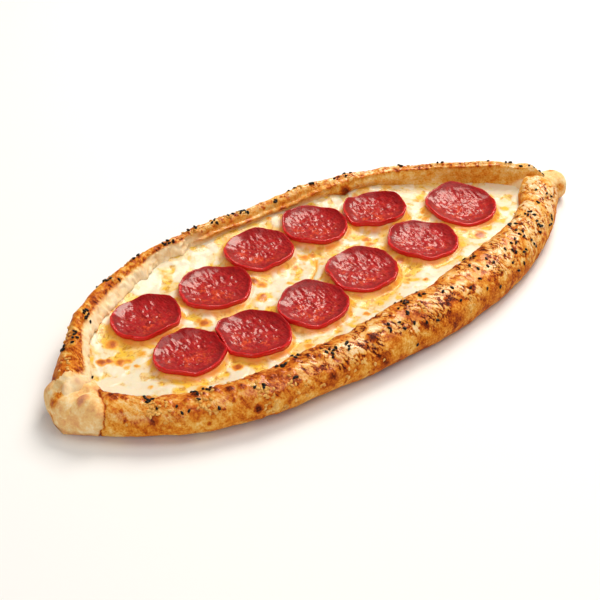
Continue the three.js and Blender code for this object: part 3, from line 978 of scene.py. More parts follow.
@dataclass
class Seeds:
    """One kind of seed, baked onto the rims in clumps and strewn thinly between them."""

    name: str
    length: float
    breadth: float
    thickness: float
    corners: int
    clumps: tuple[Clump, ...]
    strewn: int
    strewn_over: tuple[float, float]
    seed: int
    around: int = 8
    # How far a seed's middle stands out of the skin, in thicknesses, and how close two lie, in breadths.
    proud: float = 0.22
    closest: float = 0.8
    # How unevenly they lie and how their sizes differ.
    tilt: float = 0.13
    sizes: tuple[float, float] = (0.85, 1.12)
    # The share of the strewn seeds on the rolled rim, and between which keys they lie on each rim.
    share_on_rolled: float = 0.6
    on_rolled: tuple[float, float] = (3.2, 6.2)
    on_folded: tuple[float, float] = (15.9, 19)

    def grain(self) -> tuple[Array, Faces]:
        """One seed along X: a pointed drop whose breadth is sin(pi v to the 0.7) to the 0.9, flattened.

        Its section is an ellipse, bulged at its corners if it has any.
        """
        v = np.array([0.06, 0.25, 0.5, 0.75, 0.93])[:, None]
        u = (-2 * np.pi * np.arange(self.around) / self.around)[None]
        width = np.sin(np.pi * v**0.7) ** 0.9 * 0.5
        bulge = 1 + (0.16 * np.cos(self.corners * u) if self.corners else 0 * u)
        y = width * bulge * np.cos(u) * self.breadth
        z = width * bulge * np.sin(u) * self.thickness
        x = np.broadcast_to((v - 0.5) * self.length, y.shape)
        return closed_skin(np.stack([x, y, z], -1))

    def scattered(self, rng: np.random.Generator) -> tuple[Array, Array]:
        """Where the seeds lie: along the boat, and round the section in keys, kept on the rims."""
        clumps = np.array([(c.x, c.round, c.spread) for c in self.clumps for _ in range(c.count)])
        strewn = rng.uniform(*self.strewn_over, self.strewn)
        near_rolled = rng.random(self.strewn) < self.share_on_rolled
        on_rolled = rng.uniform(*self.on_rolled, self.strewn)
        over = np.where(near_rolled, on_rolled, rng.uniform(*self.on_folded, self.strewn))
        off = rng.normal(0, 0.5, (len(clumps), 2)) * clumps[:, 2:]
        at_x = np.concatenate([clumps[:, 0] + off[:, 0], strewn])
        at_round = np.concatenate([clumps[:, 1] + off[:, 1] * 0.11, over])
        return at_x, np.where(at_round < HOLLOW, np.clip(at_round, 3, 6.5), np.clip(at_round, 14.3, 19.2))

    def build(self, crust: Crust) -> bpy.types.Object:
        """All the seeds as one piece, each sunk by about a quarter in the dough's skin.

        Args:
            crust: The dough that they lie on.

        Returns:
            The piece.
        """
        rng = np.random.default_rng(self.seed)
        skin, x, rounds = crust.boat[0], crust.stations_x(), crust.rounds()
        at_x, at_round = self.scattered(rng)
        i, j = np.interp(at_x, x, np.arange(len(x))), np.interp(at_round, rounds, np.arange(len(rounds)))
        i0, j0 = np.minimum(i.astype(int), len(x) - 2), j.astype(int)
        fi, fj, j1 = (i - i0)[:, None], (j - j0)[:, None], (j0 + 1) % len(rounds)

        def between(grid: Array) -> Array:
            """A grid's values at the seeds' places, straight between its four nearest."""
            return mix(mix(grid[i0, j0], grid[i0 + 1, j0], fi), mix(grid[i0, j1], grid[i0 + 1, j1], fi), fj)

        spot, up = between(skin), between(outward_of(skin))
        up = up + rng.normal(0, self.tilt, up.shape)
        up /= np.linalg.norm(up, axis=1, keepdims=True)
        keep = self.apart(spot)
        spot, up = spot[keep], up[keep]
        yaw = rng.uniform(0, 2 * np.pi, len(spot))[:, None]
        side = np.cross(up, np.array([0.31, 0.17, 0.94]))
        side /= np.linalg.norm(side, axis=1, keepdims=True)
        run = np.cos(yaw) * side + np.sin(yaw) * np.cross(side, up)
        size = rng.uniform(*self.sizes, (len(spot), 1, 1))
        grain, faces = self.grain()
        local = grain[None] * size
        points = (
            spot[:, None]
            + local[..., :1] * run[:, None]
            + local[..., 1:2] * np.cross(up, run)[:, None]
            + (local[..., 2:] + self.proud * self.thickness) * up[:, None]
        )
        points[..., 2] = np.maximum(points[..., 2], 0.05)
        firsts = (np.arange(len(spot)) * len(grain))[:, None, None]
        every = []
        for sides in (4, 3):
            shape = np.array([face for face in faces if len(face) == sides])
            every += (firsts + shape).reshape(-1, sides).tolist()
        tone = np.repeat(rng.random(len(spot)), len(grain))
        return make_piece(self.name, points.reshape(-1, 3), every, {"tone": tone})

    def apart(self, spots: Array) -> Array:
        """Which seeds stay: one closer to an earlier one than most of its breadth is left out."""
        gap = np.linalg.norm(spots[:, None] - spots[None], axis=-1)
        number = np.arange(len(spots))
        close = (gap < self.closest * self.breadth) & (number[None] < number[:, None])
        return ~close.any(1)


# -------------------------------------------- The filling --------------------------------------------


class Slice(NamedTuple):
    """One slice of sausage.

    Where it lies, its radius, its breadth along Y as a share of its length, how far its edge curls up, how
    much the cheese lifts it and the slope that it lies on.
    """

    x: float
    y: float
    radius: float
    long: float
    curl: float
    lift: float
    slope: tuple[float, float]


SLICES = (
    Slice(-111.5, 29.8, 20.5, 0.92, 3.2, 0, (0.02, -0.02)),
    Slice(-65, 30, 21.3, 0.95, 3, 0, (0, 0.02)),
    Slice(-109.5, -11.3, 20.6, 0.9, 3.4, 0, (0.03, 0)),
    Slice(-23.8, 45.4, 21.3, 0.93, 3, 1.2, (0.02, 0.03)),
    Slice(-73.2, -18.6, 20.8, 1, 3.4, 0, (-0.02, 0)),
    Slice(18.6, 46.6, 20.2, 1, 3.4, 1.2, (0, 0.02)),
    Slice(-31, -16.6, 21.6, 0.9, 3.6, 0, (0.02, 0.02)),
    Slice(13.1, -6.2, 21.8, 0.98, 3, 0, (-0.02, 0.02)),
    Slice(59.5, 38.8, 19.6, 0.98, 4, 0.6, (0.03, -0.02)),
    Slice(61.7, -4, 21.2, 0.98, 3.2, 0, (-0.03, 0.02)),
    Slice(108.8, 13, 22.2, 0.98, 3.2, 0.4, (0.02, 0.07)),
)
CHEESE_LEVEL = (12.6, 12.6, 12.6, 10.5)
# Across the pide: oil has gathered on the front side of each slice, and its right side is drier. On the front
# side the cheese has a painted glow; on the back side the skin's ring is painted dimmer, as painted shade.
TOWARDS_FRONT = np.array([-0.6, -0.8])
TOWARDS_RIGHT = np.array([0.92, 0.39])


def slice_bed(one: Slice, x: Array, y: Array) -> Array:
    """The flat bed that a slice has pressed into the cheese."""
    level = float(along(np.array([one.x]), CHEESE_LEVEL)[0])
    return level + one.lift + one.slope[0] * (x - one.x) + one.slope[1] * (y - one.y)


@dataclass
class Sausage:
    """The slices of cured sausage, cupped by the oven's heat."""

    around: int = 150
    rings: int = 44
    rings_below: int = 12
    rings_round_edge: int = 7
    thickness: float = 1.8
    edge_from: float = 0.955
    cup_power: float = 3.4
    cup_gain: float = 1.5
    cup_below: float = 0.6
    beads: int = 9
    bead_height: float = 0.45
    casing_height: float = 0.06

    @staticmethod
    def rim(number: int, a: Array) -> Array:
        """A unit circle for each slice, where its edge's unevenness is read."""
        return np.stack([np.cos(a), np.sin(a), np.full_like(a, number * 3.7)], -1)

    def reach(self, number: int, a: Array) -> tuple[Array, Array]:
        """How far a slice's edge lies from its middle along X and Y, at each angle round it.

        The edge wanders by two sines and a little noise, and where a neighbour is close they flatten each
        other.
        """
        one, rim = SLICES[number], self.rim(number, a)
        far = one.radius * (1 + 0.02 * np.sin(2 * a + number) + 0.014 * np.sin(5 * a + 2.1 * number))
        far = far * (1 + 0.02 * Lumps(0.5, 90).at(rim) + 0.022 * Lumps(0.16, 91).at(rim))
        dx, dy = far * np.cos(a), one.long * far * np.sin(a)
        share = np.ones_like(dx)
        for other in SLICES:
            if other is one:
                continue
            apart = math.hypot(other.x - one.x, other.y - one.y)
            towards = (dx * (other.x - one.x) + dy * (other.y - one.y)) / apart
            room = apart * one.radius / (one.radius + other.radius) - GAP / 2
            share = np.where(towards > room, np.minimum(share, room / np.maximum(towards, 1e-6)), share)
        return share * dx, share * dy

    def cup(self, number: int, a: Array, share: Array) -> Array:
        """How far a slice curls up at each angle and share of the way out, steepest at the edge."""
        uneven = 0.22 * Lumps(0.5, 92).at(self.rim(number, a))
        swing = 0.75 + 0.24 * np.sin(3 * a + 1.7 * number) + 0.1 * np.sin(7 * a) + uneven
        return self.cup_gain * SLICES[number].curl * share**self.cup_power * swing

    def profile(self) -> tuple[Array, Array]:
        """A slice's section from the middle of its underside round the edge to the middle of its top.

        Returns:
            Each ring's share of the radius, and its height as a share of the thickness.
        """
        under = np.linspace(0.08, self.edge_from, self.rings_below)
        turn = np.linspace(-0.5, 0.5, self.rings_round_edge + 2)[1:-1] * np.pi
        over = 1 - np.linspace(0, 1, self.rings) ** 1.25 * 0.97
        share = [under, self.edge_from + (1 - self.edge_from) * np.cos(turn), over * self.edge_from]
        height = [np.zeros(self.rings_below), 0.5 + 0.5 * np.sin(turn), np.ones(self.rings)]
        return np.concatenate(share), np.concatenate(height)

    def fat_beads(self, number: int, flat: Array) -> Array:
        """Round beads of fat on the cut face, from 0 to 1."""
        one, rng = SLICES[number], np.random.default_rng(70 + number)
        at = rng.uniform(0, 2 * np.pi, self.beads)
        far = one.radius * np.sqrt(rng.uniform(0, 0.45, self.beads))
        level = np.full(self.beads, flat[0, 0, 2])
        middles = np.stack([one.x + far * np.cos(at), one.y + far * np.sin(at), level], -1)
        uneven = flat + 0.3 * Lumps(1.2, 98).at(flat)[..., None]
        return rises(uneven, middles, rng.uniform(0.7, 1.5, self.beads), np.ones(self.beads))

    def build_one(self, number: int) -> bpy.types.Object:
        """One slice: a disc of even thickness on its bed, with a rough cut face and a thin, raised skin."""
        one = SLICES[number]
        share, height = (values[:, None] for values in self.profile())
        a = (-2 * np.pi * np.arange(self.around) / self.around)[None]
        dx, dy = self.reach(number, a)
        x, y = one.x + share * dx, one.y + share * dy
        # Each slice reads the noise at its own level, so that no two have the same grain.
        flat = np.stack([x, y, np.full_like(x, number * 50.0)], -1)
        grain = 0.3 * Lumps(9, 93, 2).at(flat) + 0.55 * Lumps(2.6, 94, 2).at(flat, (1, 2.2, 1))
        grain += 0.22 * Lumps(1.5, 95, 2).at(flat, (1, 1.8, 1))
        bead = height * self.fat_beads(number, flat)
        grain += self.bead_height * bead
        inner = height * fall(share, 0.66, 0.9)
        casing = height * bell(share - 0.95, 0.03) * self.casing_height
        cup = self.cup(number, a, share) * mix(self.cup_below, 1, height)
        z = slice_bed(one, x, y) + GAP + cup + height * self.thickness + inner * grain + casing

        out = np.stack([share * dx, share * dy], -1)
        front, right = out @ TOWARDS_FRONT / one.radius, out @ TOWARDS_RIGHT / one.radius
        pool = smooth(Lumps(6, 97, 2).at(flat + (0, 0, 9)), -0.1, 0.5) * fall(share, 0.5, 0.85)
        skin = 1 - height * fall(share + 0.05 * Lumps(3, 99, 2).at(flat), 0.89, 0.95)
        layers = {
            # Painted shade: the skin's bright ring is painted dimmer on the slice's back side, by how far
            # each point faces the front.
            "edge": skin * mix(0.3, 1, smooth(front, -0.6, 0.3)),
            "oil": np.clip(pool * smooth(front, -0.45, 0.35) * height, 0, 1),
            "cup": np.broadcast_to(share**3 * height, z.shape),
            "wet": np.clip(bead + mix(0.7, 0.1, share**2 * smooth(right, 0.0, 0.8)), 0, 1),
        }
        return skin_piece(f"sausage_{number + 1:02d}", np.stack(np.broadcast_arrays(x, y, z), -1), layers)


class Sheet(NamedTuple):
    """The cheese seen from above: its columns' x, its two edges there, and all its points, flat."""

    x: Array
    low: Array
    high: Array
    flat: Array


class NearSlices(NamedTuple):
    """What the slices do to the cheese around them.

    How far each point is from a slice's edge, the oil round each with a painted glow that is stronger on
    its front side, the painted glow of yellow in front of it, where its shadow falls, and the cheese that
    its edge has drawn up.
    """

    gap: Array
    oil_and_glow: Array
    painted_glow: Array
    drawn_up: Array


@dataclass
class Cheese:
    """The melted cheese: a lumpy sheet that climbs both rims, with pools, bubbles and toasted places."""

    columns: int = 392
    rows: int = 190
    ends: tuple[float, float] = (-171.5, 164)
    lump: float = 0.8
    climb_rolled: tuple[float, ...] = (2, 1.5, 1.5, 0.5)
    climb_folded: tuple[float, ...] = (3, 4.5, 5, 1)
    climb_within: float = 15
    bubbles: int = 190
    bubble_radii: tuple[float, float] = (1.2, 3.4)
    share_toasted: float = 0.3
    # Toasted places: x, y, radius and how brown.
    toasts: tuple[tuple[float, float, float, float], ...] = (
        (-136.9, 24.1, 4.6, 0.75), (-149.5, 13, 3.6, 0.85), (-146, 12, 3.4, 0.8), (-141.2, 8.5, 3.6, 0.7),
        (-137.5, 6.5, 3, 0.5), (-128.8, 6.5, 4.4, 0.3), (-94.6, -34.2, 4, 0.8), (-86.5, 9.1, 4.6, 0.72),
        (-88, 13, 3, 0.5), (-48.2, 8.5, 4.2, 0.6), (-40, 20, 4.4, 0.6), (-43, 25, 5.4, 0.85),
        (-46, 10, 3, 0.7), (-26, 12, 3, 0.4), (2, 27, 4, 0.6), (8.8, 28.3, 3.4, 0.5), (39, -9.8, 4.5, 0.7),
        (36, 14, 4.5, 0.55), (38, 20, 3.8, 0.65), (38, -34, 3, 0.7), (97.9, -16.1, 5, 0.8),
        (92, -8, 3.5, 0.5), (42, -13, 3, 0.5), (83, 17, 4, 0.4), (-10, -38, 3, 0.6), (-54, -42, 3.2, 0.5),
        (-120, -38, 4, 0.45), (-4, 27, 5, 0.5), (-14, 22, 3, 0.6), (70, 62, 6, 0.35), (85, 58, 5, 0.3),
        (-30, 66, 6, 0.35), (-80, 60, 5, 0.3),
    )
    crease: tuple[tuple[float, float], ...] = ((-17, 3), (-12, 9), (-5, 14), (1, 22))

    def loose(self, x: Array, y: Array) -> Array:
        """The cheese before anything presses on it: its level, its climb up each rim and its lumps."""
        rolled, folded, centre = BOAT.rim_at(ROLLED, x), BOAT.rim_at(FOLDED, x), BOAT.centre(x)
        near_rolled = fall(y - (centre - rolled.inner), 0, self.climb_within)
        near_folded = fall(centre + folded.inner - y, 0, self.climb_within)
        lump = np.sin(x / 8.3 + 1.7 * np.sin(y / 13)) * np.sin(y / 7.1 + 1.3 * np.sin(x / 17))
        climb = along(x, self.climb_rolled) * near_rolled + along(x, self.climb_folded) * near_folded
        return along(x, CHEESE_LEVEL) + climb + self.lump * lump

    def top(self, x: Array, y: Array) -> Array:
        """The cheese with the slices' beds pressed into it, as in the solid."""
        height = self.loose(x, y)
        for one in SLICES:
            off = np.hypot(x - one.x, y - one.y)
            height = mix(slice_bed(one, x, y), height, smooth(off, one.radius - 3, one.radius + 5))
        return height

    def sheet(self, crust: Crust) -> Sheet:
        """The sheet's plan, tucked a little into the dough all round."""
        x = np.linspace(*self.ends, self.columns)
        rolled, folded, centre = BOAT.rim_at(ROLLED, x), BOAT.rim_at(FOLDED, x), BOAT.centre(x)
        drawn_back = np.maximum(-crust.flap(x).inward, 0)
        low = centre - rolled.inner - np.minimum(2.5, 0.4 * rolled.breadth)
        high = centre + folded.inner + np.minimum(drawn_back + 2.2, 0.72 * folded.breadth)
        share = np.linspace(0, 1, self.rows)[None]
        y = mix(low[:, None], high[:, None], mix(share, smooth(share, 0, 1), 0.3))
        xx = np.broadcast_to(x[:, None], y.shape)
        return Sheet(x, low, high, np.stack([xx, y, np.zeros_like(y)], -1))

    @staticmethod
    def near_slices(sausage: Sausage, x: Array, y: Array) -> NearSlices:
        """The slices' marks at each point, as bells of its distance from a slice's edge."""
        slice_gap = np.full(y.shape, 99.0)
        oil_and_glow, painted_glow, drawn_up = np.zeros(y.shape), np.zeros(y.shape), np.zeros(y.shape)
        for number, one in enumerate(SLICES):
            away = np.stack([x - one.x, y - one.y], -1)
            off = np.linalg.norm(away, axis=-1)
            a = np.arctan2(away[..., 1] / one.long, away[..., 0])
            edge = np.hypot(*sausage.reach(number, a))
            gap = off - edge
            slice_gap = np.minimum(slice_gap, gap)
            facing = np.clip(away @ TOWARDS_FRONT / np.maximum(off, 1), -1, 1)
            # Oil round the slice, and a painted glow: it is painted stronger and wider on the slice's front
            # side.
            oil_and_glow = np.maximum(oil_and_glow, bell(gap, 1.8 + 0.8 * facing) * (0.65 + 0.45 * facing))
            # Painted glow: yellow on the slice's front side, where its shadow falls on the cheese.
            painted_glow = np.maximum(painted_glow, bell(gap, 5) * np.maximum(facing, 0))
            under = sausage.cup_below * sausage.cup(number, a, np.minimum(off / edge, 1))
            under = under + 0.7 * smooth(gap, -6, -2)
            drawn_up = np.maximum(drawn_up, under * bell(np.maximum(gap + 0.5, 0), 1.9))
        return NearSlices(slice_gap, oil_and_glow, painted_glow, drawn_up)

    def blistered(self, flat: Array) -> tuple[Array, Array]:
        """How far bubbles and toasted places raise the cheese, and how brown each point is."""
        rng = np.random.default_rng(9)
        count = self.bubbles
        bubbles = np.stack([rng.uniform(-160, 150, count), rng.uniform(-60, 75, count), np.zeros(count)], -1)
        radii = rng.uniform(*self.bubble_radii, count)
        bubbled = rises(flat, bubbles, radii, 0.12 * radii, 0.2)
        toasted = rng.random(count) < self.share_toasted
        ragged = (flat + 1.2 * jostled(flat, 4, 80, 2)) * (1, 1, 0)
        spots = np.array(self.toasts)
        spot_at = spots[:, :3] * (1, 1, 0)
        brown = rises(ragged, spot_at, 1.15 * spots[:, 2], spots[:, 3], 0.25)
        small = rises(ragged, bubbles[toasted], radii[toasted] * 1.1, rng.uniform(0.2, 0.55, count), 0)
        raised_spots = rises(flat, spot_at, 1.3 * spots[:, 2], 0.1 * spots[:, 2], 0.3)
        return bubbled + raised_spots, np.maximum(brown, small)

    @staticmethod
    def yellowed(sheet: Sheet, near: NearSlices, island: Array) -> Array:
        """How yellow each point is: between white islands, round the slices, as painted glow before them,
        along the folded rim.
        """
        x, y = sheet.flat[..., 0], sheet.flat[..., 1]
        low, high = sheet.low[:, None], sheet.high[:, None]
        rim_gap = np.minimum(y - low, high - y)
        yellow = (1 - island) * 0.92 + 0.75 * smooth(Lumps(7, 64, 2).at(sheet.flat), 0.0, 0.3)
        whiter = 0.85 * bell(np.maximum(rim_gap - 4, 0) * (y < 0), 15)
        # Yellow round the slices, and the painted glow of yellow on their front sides.
        yellow += 0.45 * bell(near.gap, 9) - whiter + 0.6 * near.painted_glow
        yellow += 0.25 * smooth(y, 40, 62) * fall(x, 60, 110)
        yellow += 0.5 * smooth(x, 60, 110) * bell(np.maximum(high - y, 0), 7)
        # By the blunt end a yellow pool lies beside a white one.
        yellow += 1.0 * bell(np.hypot((x + 138) / 1.9, y - 18), 14)
        white = bell(np.hypot((x + 137) / 1.9, y + 8), 11)
        return yellow - 1.5 * white

    def build(self, crust: Crust, sausage: Sausage) -> bpy.types.Object:
        """The sheet of cheese, drawn up under each slice's edge.

        Its height adds to the solid's: white islands with rounded edges, where noise of 13 mm is above
        nought, bubbles, a crease and fine noise.

        Args:
            crust: The dough that it lies in.
            sausage: The slices that lie on it.

        Returns:
            The piece.
        """
        sheet = self.sheet(crust)
        x, y, flat = sheet.flat[..., 0], sheet.flat[..., 1], sheet.flat
        near = self.near_slices(sausage, x, y)
        bumps, brown = self.blistered(flat)
        island = smooth(Lumps(13, 61, 2).at(flat), -0.16, 0.2)
        crease = bell(distance_to_line(flat, np.insert(np.array(self.crease, float), 2, 0, axis=1)), 1.3)
        clear = smooth(near.gap, -0.5, 3)
        relief = clear * (0.4 * (island - 0.5) + 0.3 * Lumps(22, 62).at(flat) + bumps - 0.7 * crease)
        relief += clear * 0.13 * Lumps(3, 63, 2).at(flat)
        z = self.top(x, y) + relief + near.drawn_up + 0.6 * clear * bell(near.gap, 9)
        layers = {
            # Along the crease the cheese is also painted darker, in this layer.
            "toast": np.clip(np.maximum(brown, 0.35 * crease) * smooth(near.gap, -3, 1), 0, 1),
            "yellow": np.clip(self.yellowed(sheet, near, island), -0.5, 1),
            # The oil layer holds the oil round the slices and the painted glow on their front sides.
            "oil": np.clip(near.oil_and_glow * mix(0.6, 1.15, smooth(Lumps(9, 65, 2).at(flat), -0.5, 0.5)), 0, 1),
        }
        # Each ring closes below the sheet by way of two points on its underside.
        under = np.full_like(sheet.x, SHEET + 2 * GAP)
        skirt = [np.stack([sheet.x, side, under], -1)[:, None] for side in (sheet.high, sheet.low)]
        points = np.concatenate([*skirt, np.stack([x, y, z], -1)], 1)
        padded = {name: np.hstack([np.zeros((self.columns, 2)), v]) for name, v in layers.items()}
        return skin_piece("melted_cheese", points, padded)


# ---------------------------------------------- Finishes ----------------------------------------------


def add(tree: bpy.types.NodeTree, kind: str, inputs: dict[Any, Any], **settings: Any) -> Any:
    """Adds a shader node.

    Args:
        tree: The material's node tree.
        kind: The node's type, without ShaderNode before it.
        inputs: A value, a hex colour or another node's output for each socket, by name or number.
        settings: The node's own properties. Under stops, a ramp's positions and hex colours.

    Returns:
        The node's outputs.
    """
    node = tree.nodes.new("ShaderNode" + kind)
    stops = settings.pop("stops", ())
    while stops and len(node.color_ramp.elements) < len(stops):
        node.color_ramp.elements.new(0.5)
    for element, (position, code) in zip(node.color_ramp.elements if stops else (), stops):
        element.position, element.color = position, linear(code)
    for key, value in settings.items():
        setattr(node, key, value)
    for key, value in inputs.items():
        if isinstance(value, bpy.types.NodeSocket):
            tree.links.new(value, node.inputs[key])
        else:
            node.inputs[key].default_value = linear(value) if isinstance(value, str) else value
    return node.outputs


def per_mm(size: float) -> float:
    """A pattern's scale on Object coordinates, which are in metres, for features of that many millimetres."""
    return 1 / (size * MM)


class Finish:
    """What all finishes share: a tree with a shader, and the nodes that read where a point lies."""

    name: str

    def start(self) -> tuple[bpy.types.Material, bpy.types.NodeTree, bpy.types.NodeSocket]:
        """A new material, its empty tree and its Object coordinates."""
        material = bpy.data.materials.new(self.name)
        material.use_nodes = True
        tree = material.node_tree
        tree.nodes.clear()
        return material, tree, add(tree, "TexCoord", {})["Object"]

    @staticmethod
    def finished(material: bpy.types.Material, inputs: dict[str, Any]) -> bpy.types.Material:
        """The material with a shader that has these inputs, and the output."""
        tree = material.node_tree
        add(tree, "OutputMaterial", {"Surface": add(tree, "BsdfPrincipled", inputs)[0]})
        return material


@dataclass(frozen=True)
class BakedDough(Finish):
    """Egg-washed bread crust, browned in an oven.

    Browning runs from cream through gold and amber to a scorched brown, the egg wash gives a thin gloss on
    top, and the unwashed dough is dry and matt.
    """

    name: str = "baked_bread_crust"
    stops: tuple[tuple[float, str], ...] = (
        (0.0, "#f6dfb6"),
        (0.15, "#f0cb86"),
        (0.3, "#e9b052"),
        (0.44, "#dc8b28"),
        (0.58, "#c46112"),
        (0.72, "#993d0e"),
        (0.86, "#581f0a"),
        (1.0, "#26100a"),
    )
    raw: str = "#fbe8cb"
    wash: str = "#e8a83a"
    bran: str = "#6b3216"

    def creases(self, tree: bpy.types.NodeTree, crepe: Any, blotch: Any) -> Any:
        """Fine slanted creases in the glaze, twice as long round the rim, where 2.3 mm noise is near 0.5."""
        run, turn = (add(tree, "Attribute", {}, attribute_name=layer)["Fac"] for layer in ("run", "turn"))
        slant = add(tree, "Math", {0: turn, 1: 0.5, 2: run}, operation="MULTIPLY_ADD")[0]
        laid = add(tree, "CombineXYZ", {"X": slant, "Y": turn})[0]
        laid = add(tree, "Mapping", {"Vector": laid, "Scale": (1.0, 0.45, 1.0)})[0]
        noise = {"Vector": laid, "Scale": per_mm(2.3), "Detail": 1, "Roughness": 0.5, "Distortion": 0.8}
        off = add(tree, "Math", {0: add(tree, "TexNoise", noise)[0], 1: 0.5}, operation="SUBTRACT")[0]
        off = add(tree, "Math", {0: off}, operation="ABSOLUTE")[0]
        line = {"Value": off, "From Max": 0.07, "To Min": 1.0, "To Max": 0.0}
        crease = add(tree, "MapRange", line, interpolation_type="SMOOTHSTEP")[0]
        crease = add(tree, "Math", {0: crease, 1: crepe}, operation="MULTIPLY")[0]
        patches = add(tree, "MapRange", {"Value": blotch, "From Min": 0.4, "From Max": 0.55})[0]
        return add(tree, "Math", {0: crease, 1: patches}, operation="MULTIPLY")[0]

    def material(self) -> bpy.types.Material:
        """The material: the bake layer and two sizes of noise drive the browning."""
        material, tree, here = self.start()
        bake, glaze, raw, crepe = (
            add(tree, "Attribute", {}, attribute_name=layer)["Fac"]
            for layer in ("bake", "glaze", "raw", "crepe")
        )
        blotch, crumb, pits = (
            add(tree, "TexNoise", {"Vector": here, "Scale": per_mm(mm), "Detail": fine, "Roughness": gain})[0]
            for mm, fine, gain in ((5, 5, 0.62), (1.1, 3, 0.6), (0.8, 4, 0.65))
        )
        crease = self.creases(tree, crepe, blotch)
        wide = add(tree, "Math", {0: blotch, 1: 0.76, 2: -0.38}, operation="MULTIPLY_ADD")[0]
        fine = add(tree, "Math", {0: crumb, 1: 0.62, 2: -0.31}, operation="MULTIPLY_ADD")[0]
        both = add(tree, "Math", {0: wide, 1: fine}, operation="ADD")[0]
        calm = add(tree, "MapRange", {"Value": raw, "To Min": 1.0, "To Max": 0.4})[0]
        level = bake
        for pattern, share in ((both, calm), (crease, 0.6), (crepe, -0.11)):
            terms = {0: pattern, 1: share, 2: level}
            level = add(tree, "Math", terms, operation="MULTIPLY_ADD", use_clamp=True)[0]
        browned = add(tree, "ValToRGB", {"Fac": level}, stops=self.stops)[0]
        # Fine dark flecks where bran in the flour has caught.
        cells = add(tree, "TexVoronoi", {"Vector": here, "Scale": per_mm(2.4)})[0]
        near = {"Value": cells, "From Min": 0.05, "From Max": 0.2, "To Min": 0.45, "To Max": 0.0}
        flecks = add(tree, "Math", {0: add(tree, "MapRange", near)[0], 1: level}, operation="MULTIPLY")[0]
        colour = add(tree, "Mix", {0: flecks, 6: browned, 7: self.bran}, data_type="RGBA")[2]
        # The egg wash yellows what it covers.
        washed = add(tree, "Math", {0: glaze, 1: 0.26}, operation="MULTIPLY")[0]
        tinted = {0: washed, 6: colour, 7: self.wash}
        colour = add(tree, "Mix", tinted, data_type="RGBA", blend_type="MULTIPLY")[2]
        pale = add(tree, "Math", {0: raw, 1: 0.5}, operation="MULTIPLY")[0]
        # What is scorched has soaked up its wash and is duller.
        wet = {"Value": level, "From Min": 0.45, "From Max": 0.8, "To Min": 0.55, "To Max": 0.06}
        coat = add(tree, "Math", {0: glaze, 1: add(tree, "MapRange", wet)[0]}, operation="MULTIPLY")[0]
        height = add(tree, "Math", {0: crease, 1: -1.3, 2: pits}, operation="MULTIPLY_ADD")[0]
        return self.finished(
            material,
            {
                "Base Color": add(tree, "Mix", {0: pale, 6: colour, 7: self.raw}, data_type="RGBA")[2],
                "Roughness": add(tree, "MapRange", {"Value": glaze, "To Min": 0.68, "To Max": 0.4})[0],
                "Normal": add(tree, "Bump", {"Strength": 0.8, "Distance": 0.35 * MM, "Height": height})[0],
                "IOR": 1.45,
                "Specular IOR Level": 0.08,
                "Coat Weight": coat,
                "Coat Roughness": 0.16,
                "Subsurface Weight": 0.08,
                "Subsurface Radius": (1.0, 0.5, 0.25),
                "Subsurface Scale": 1.5 * MM,
            },
        )


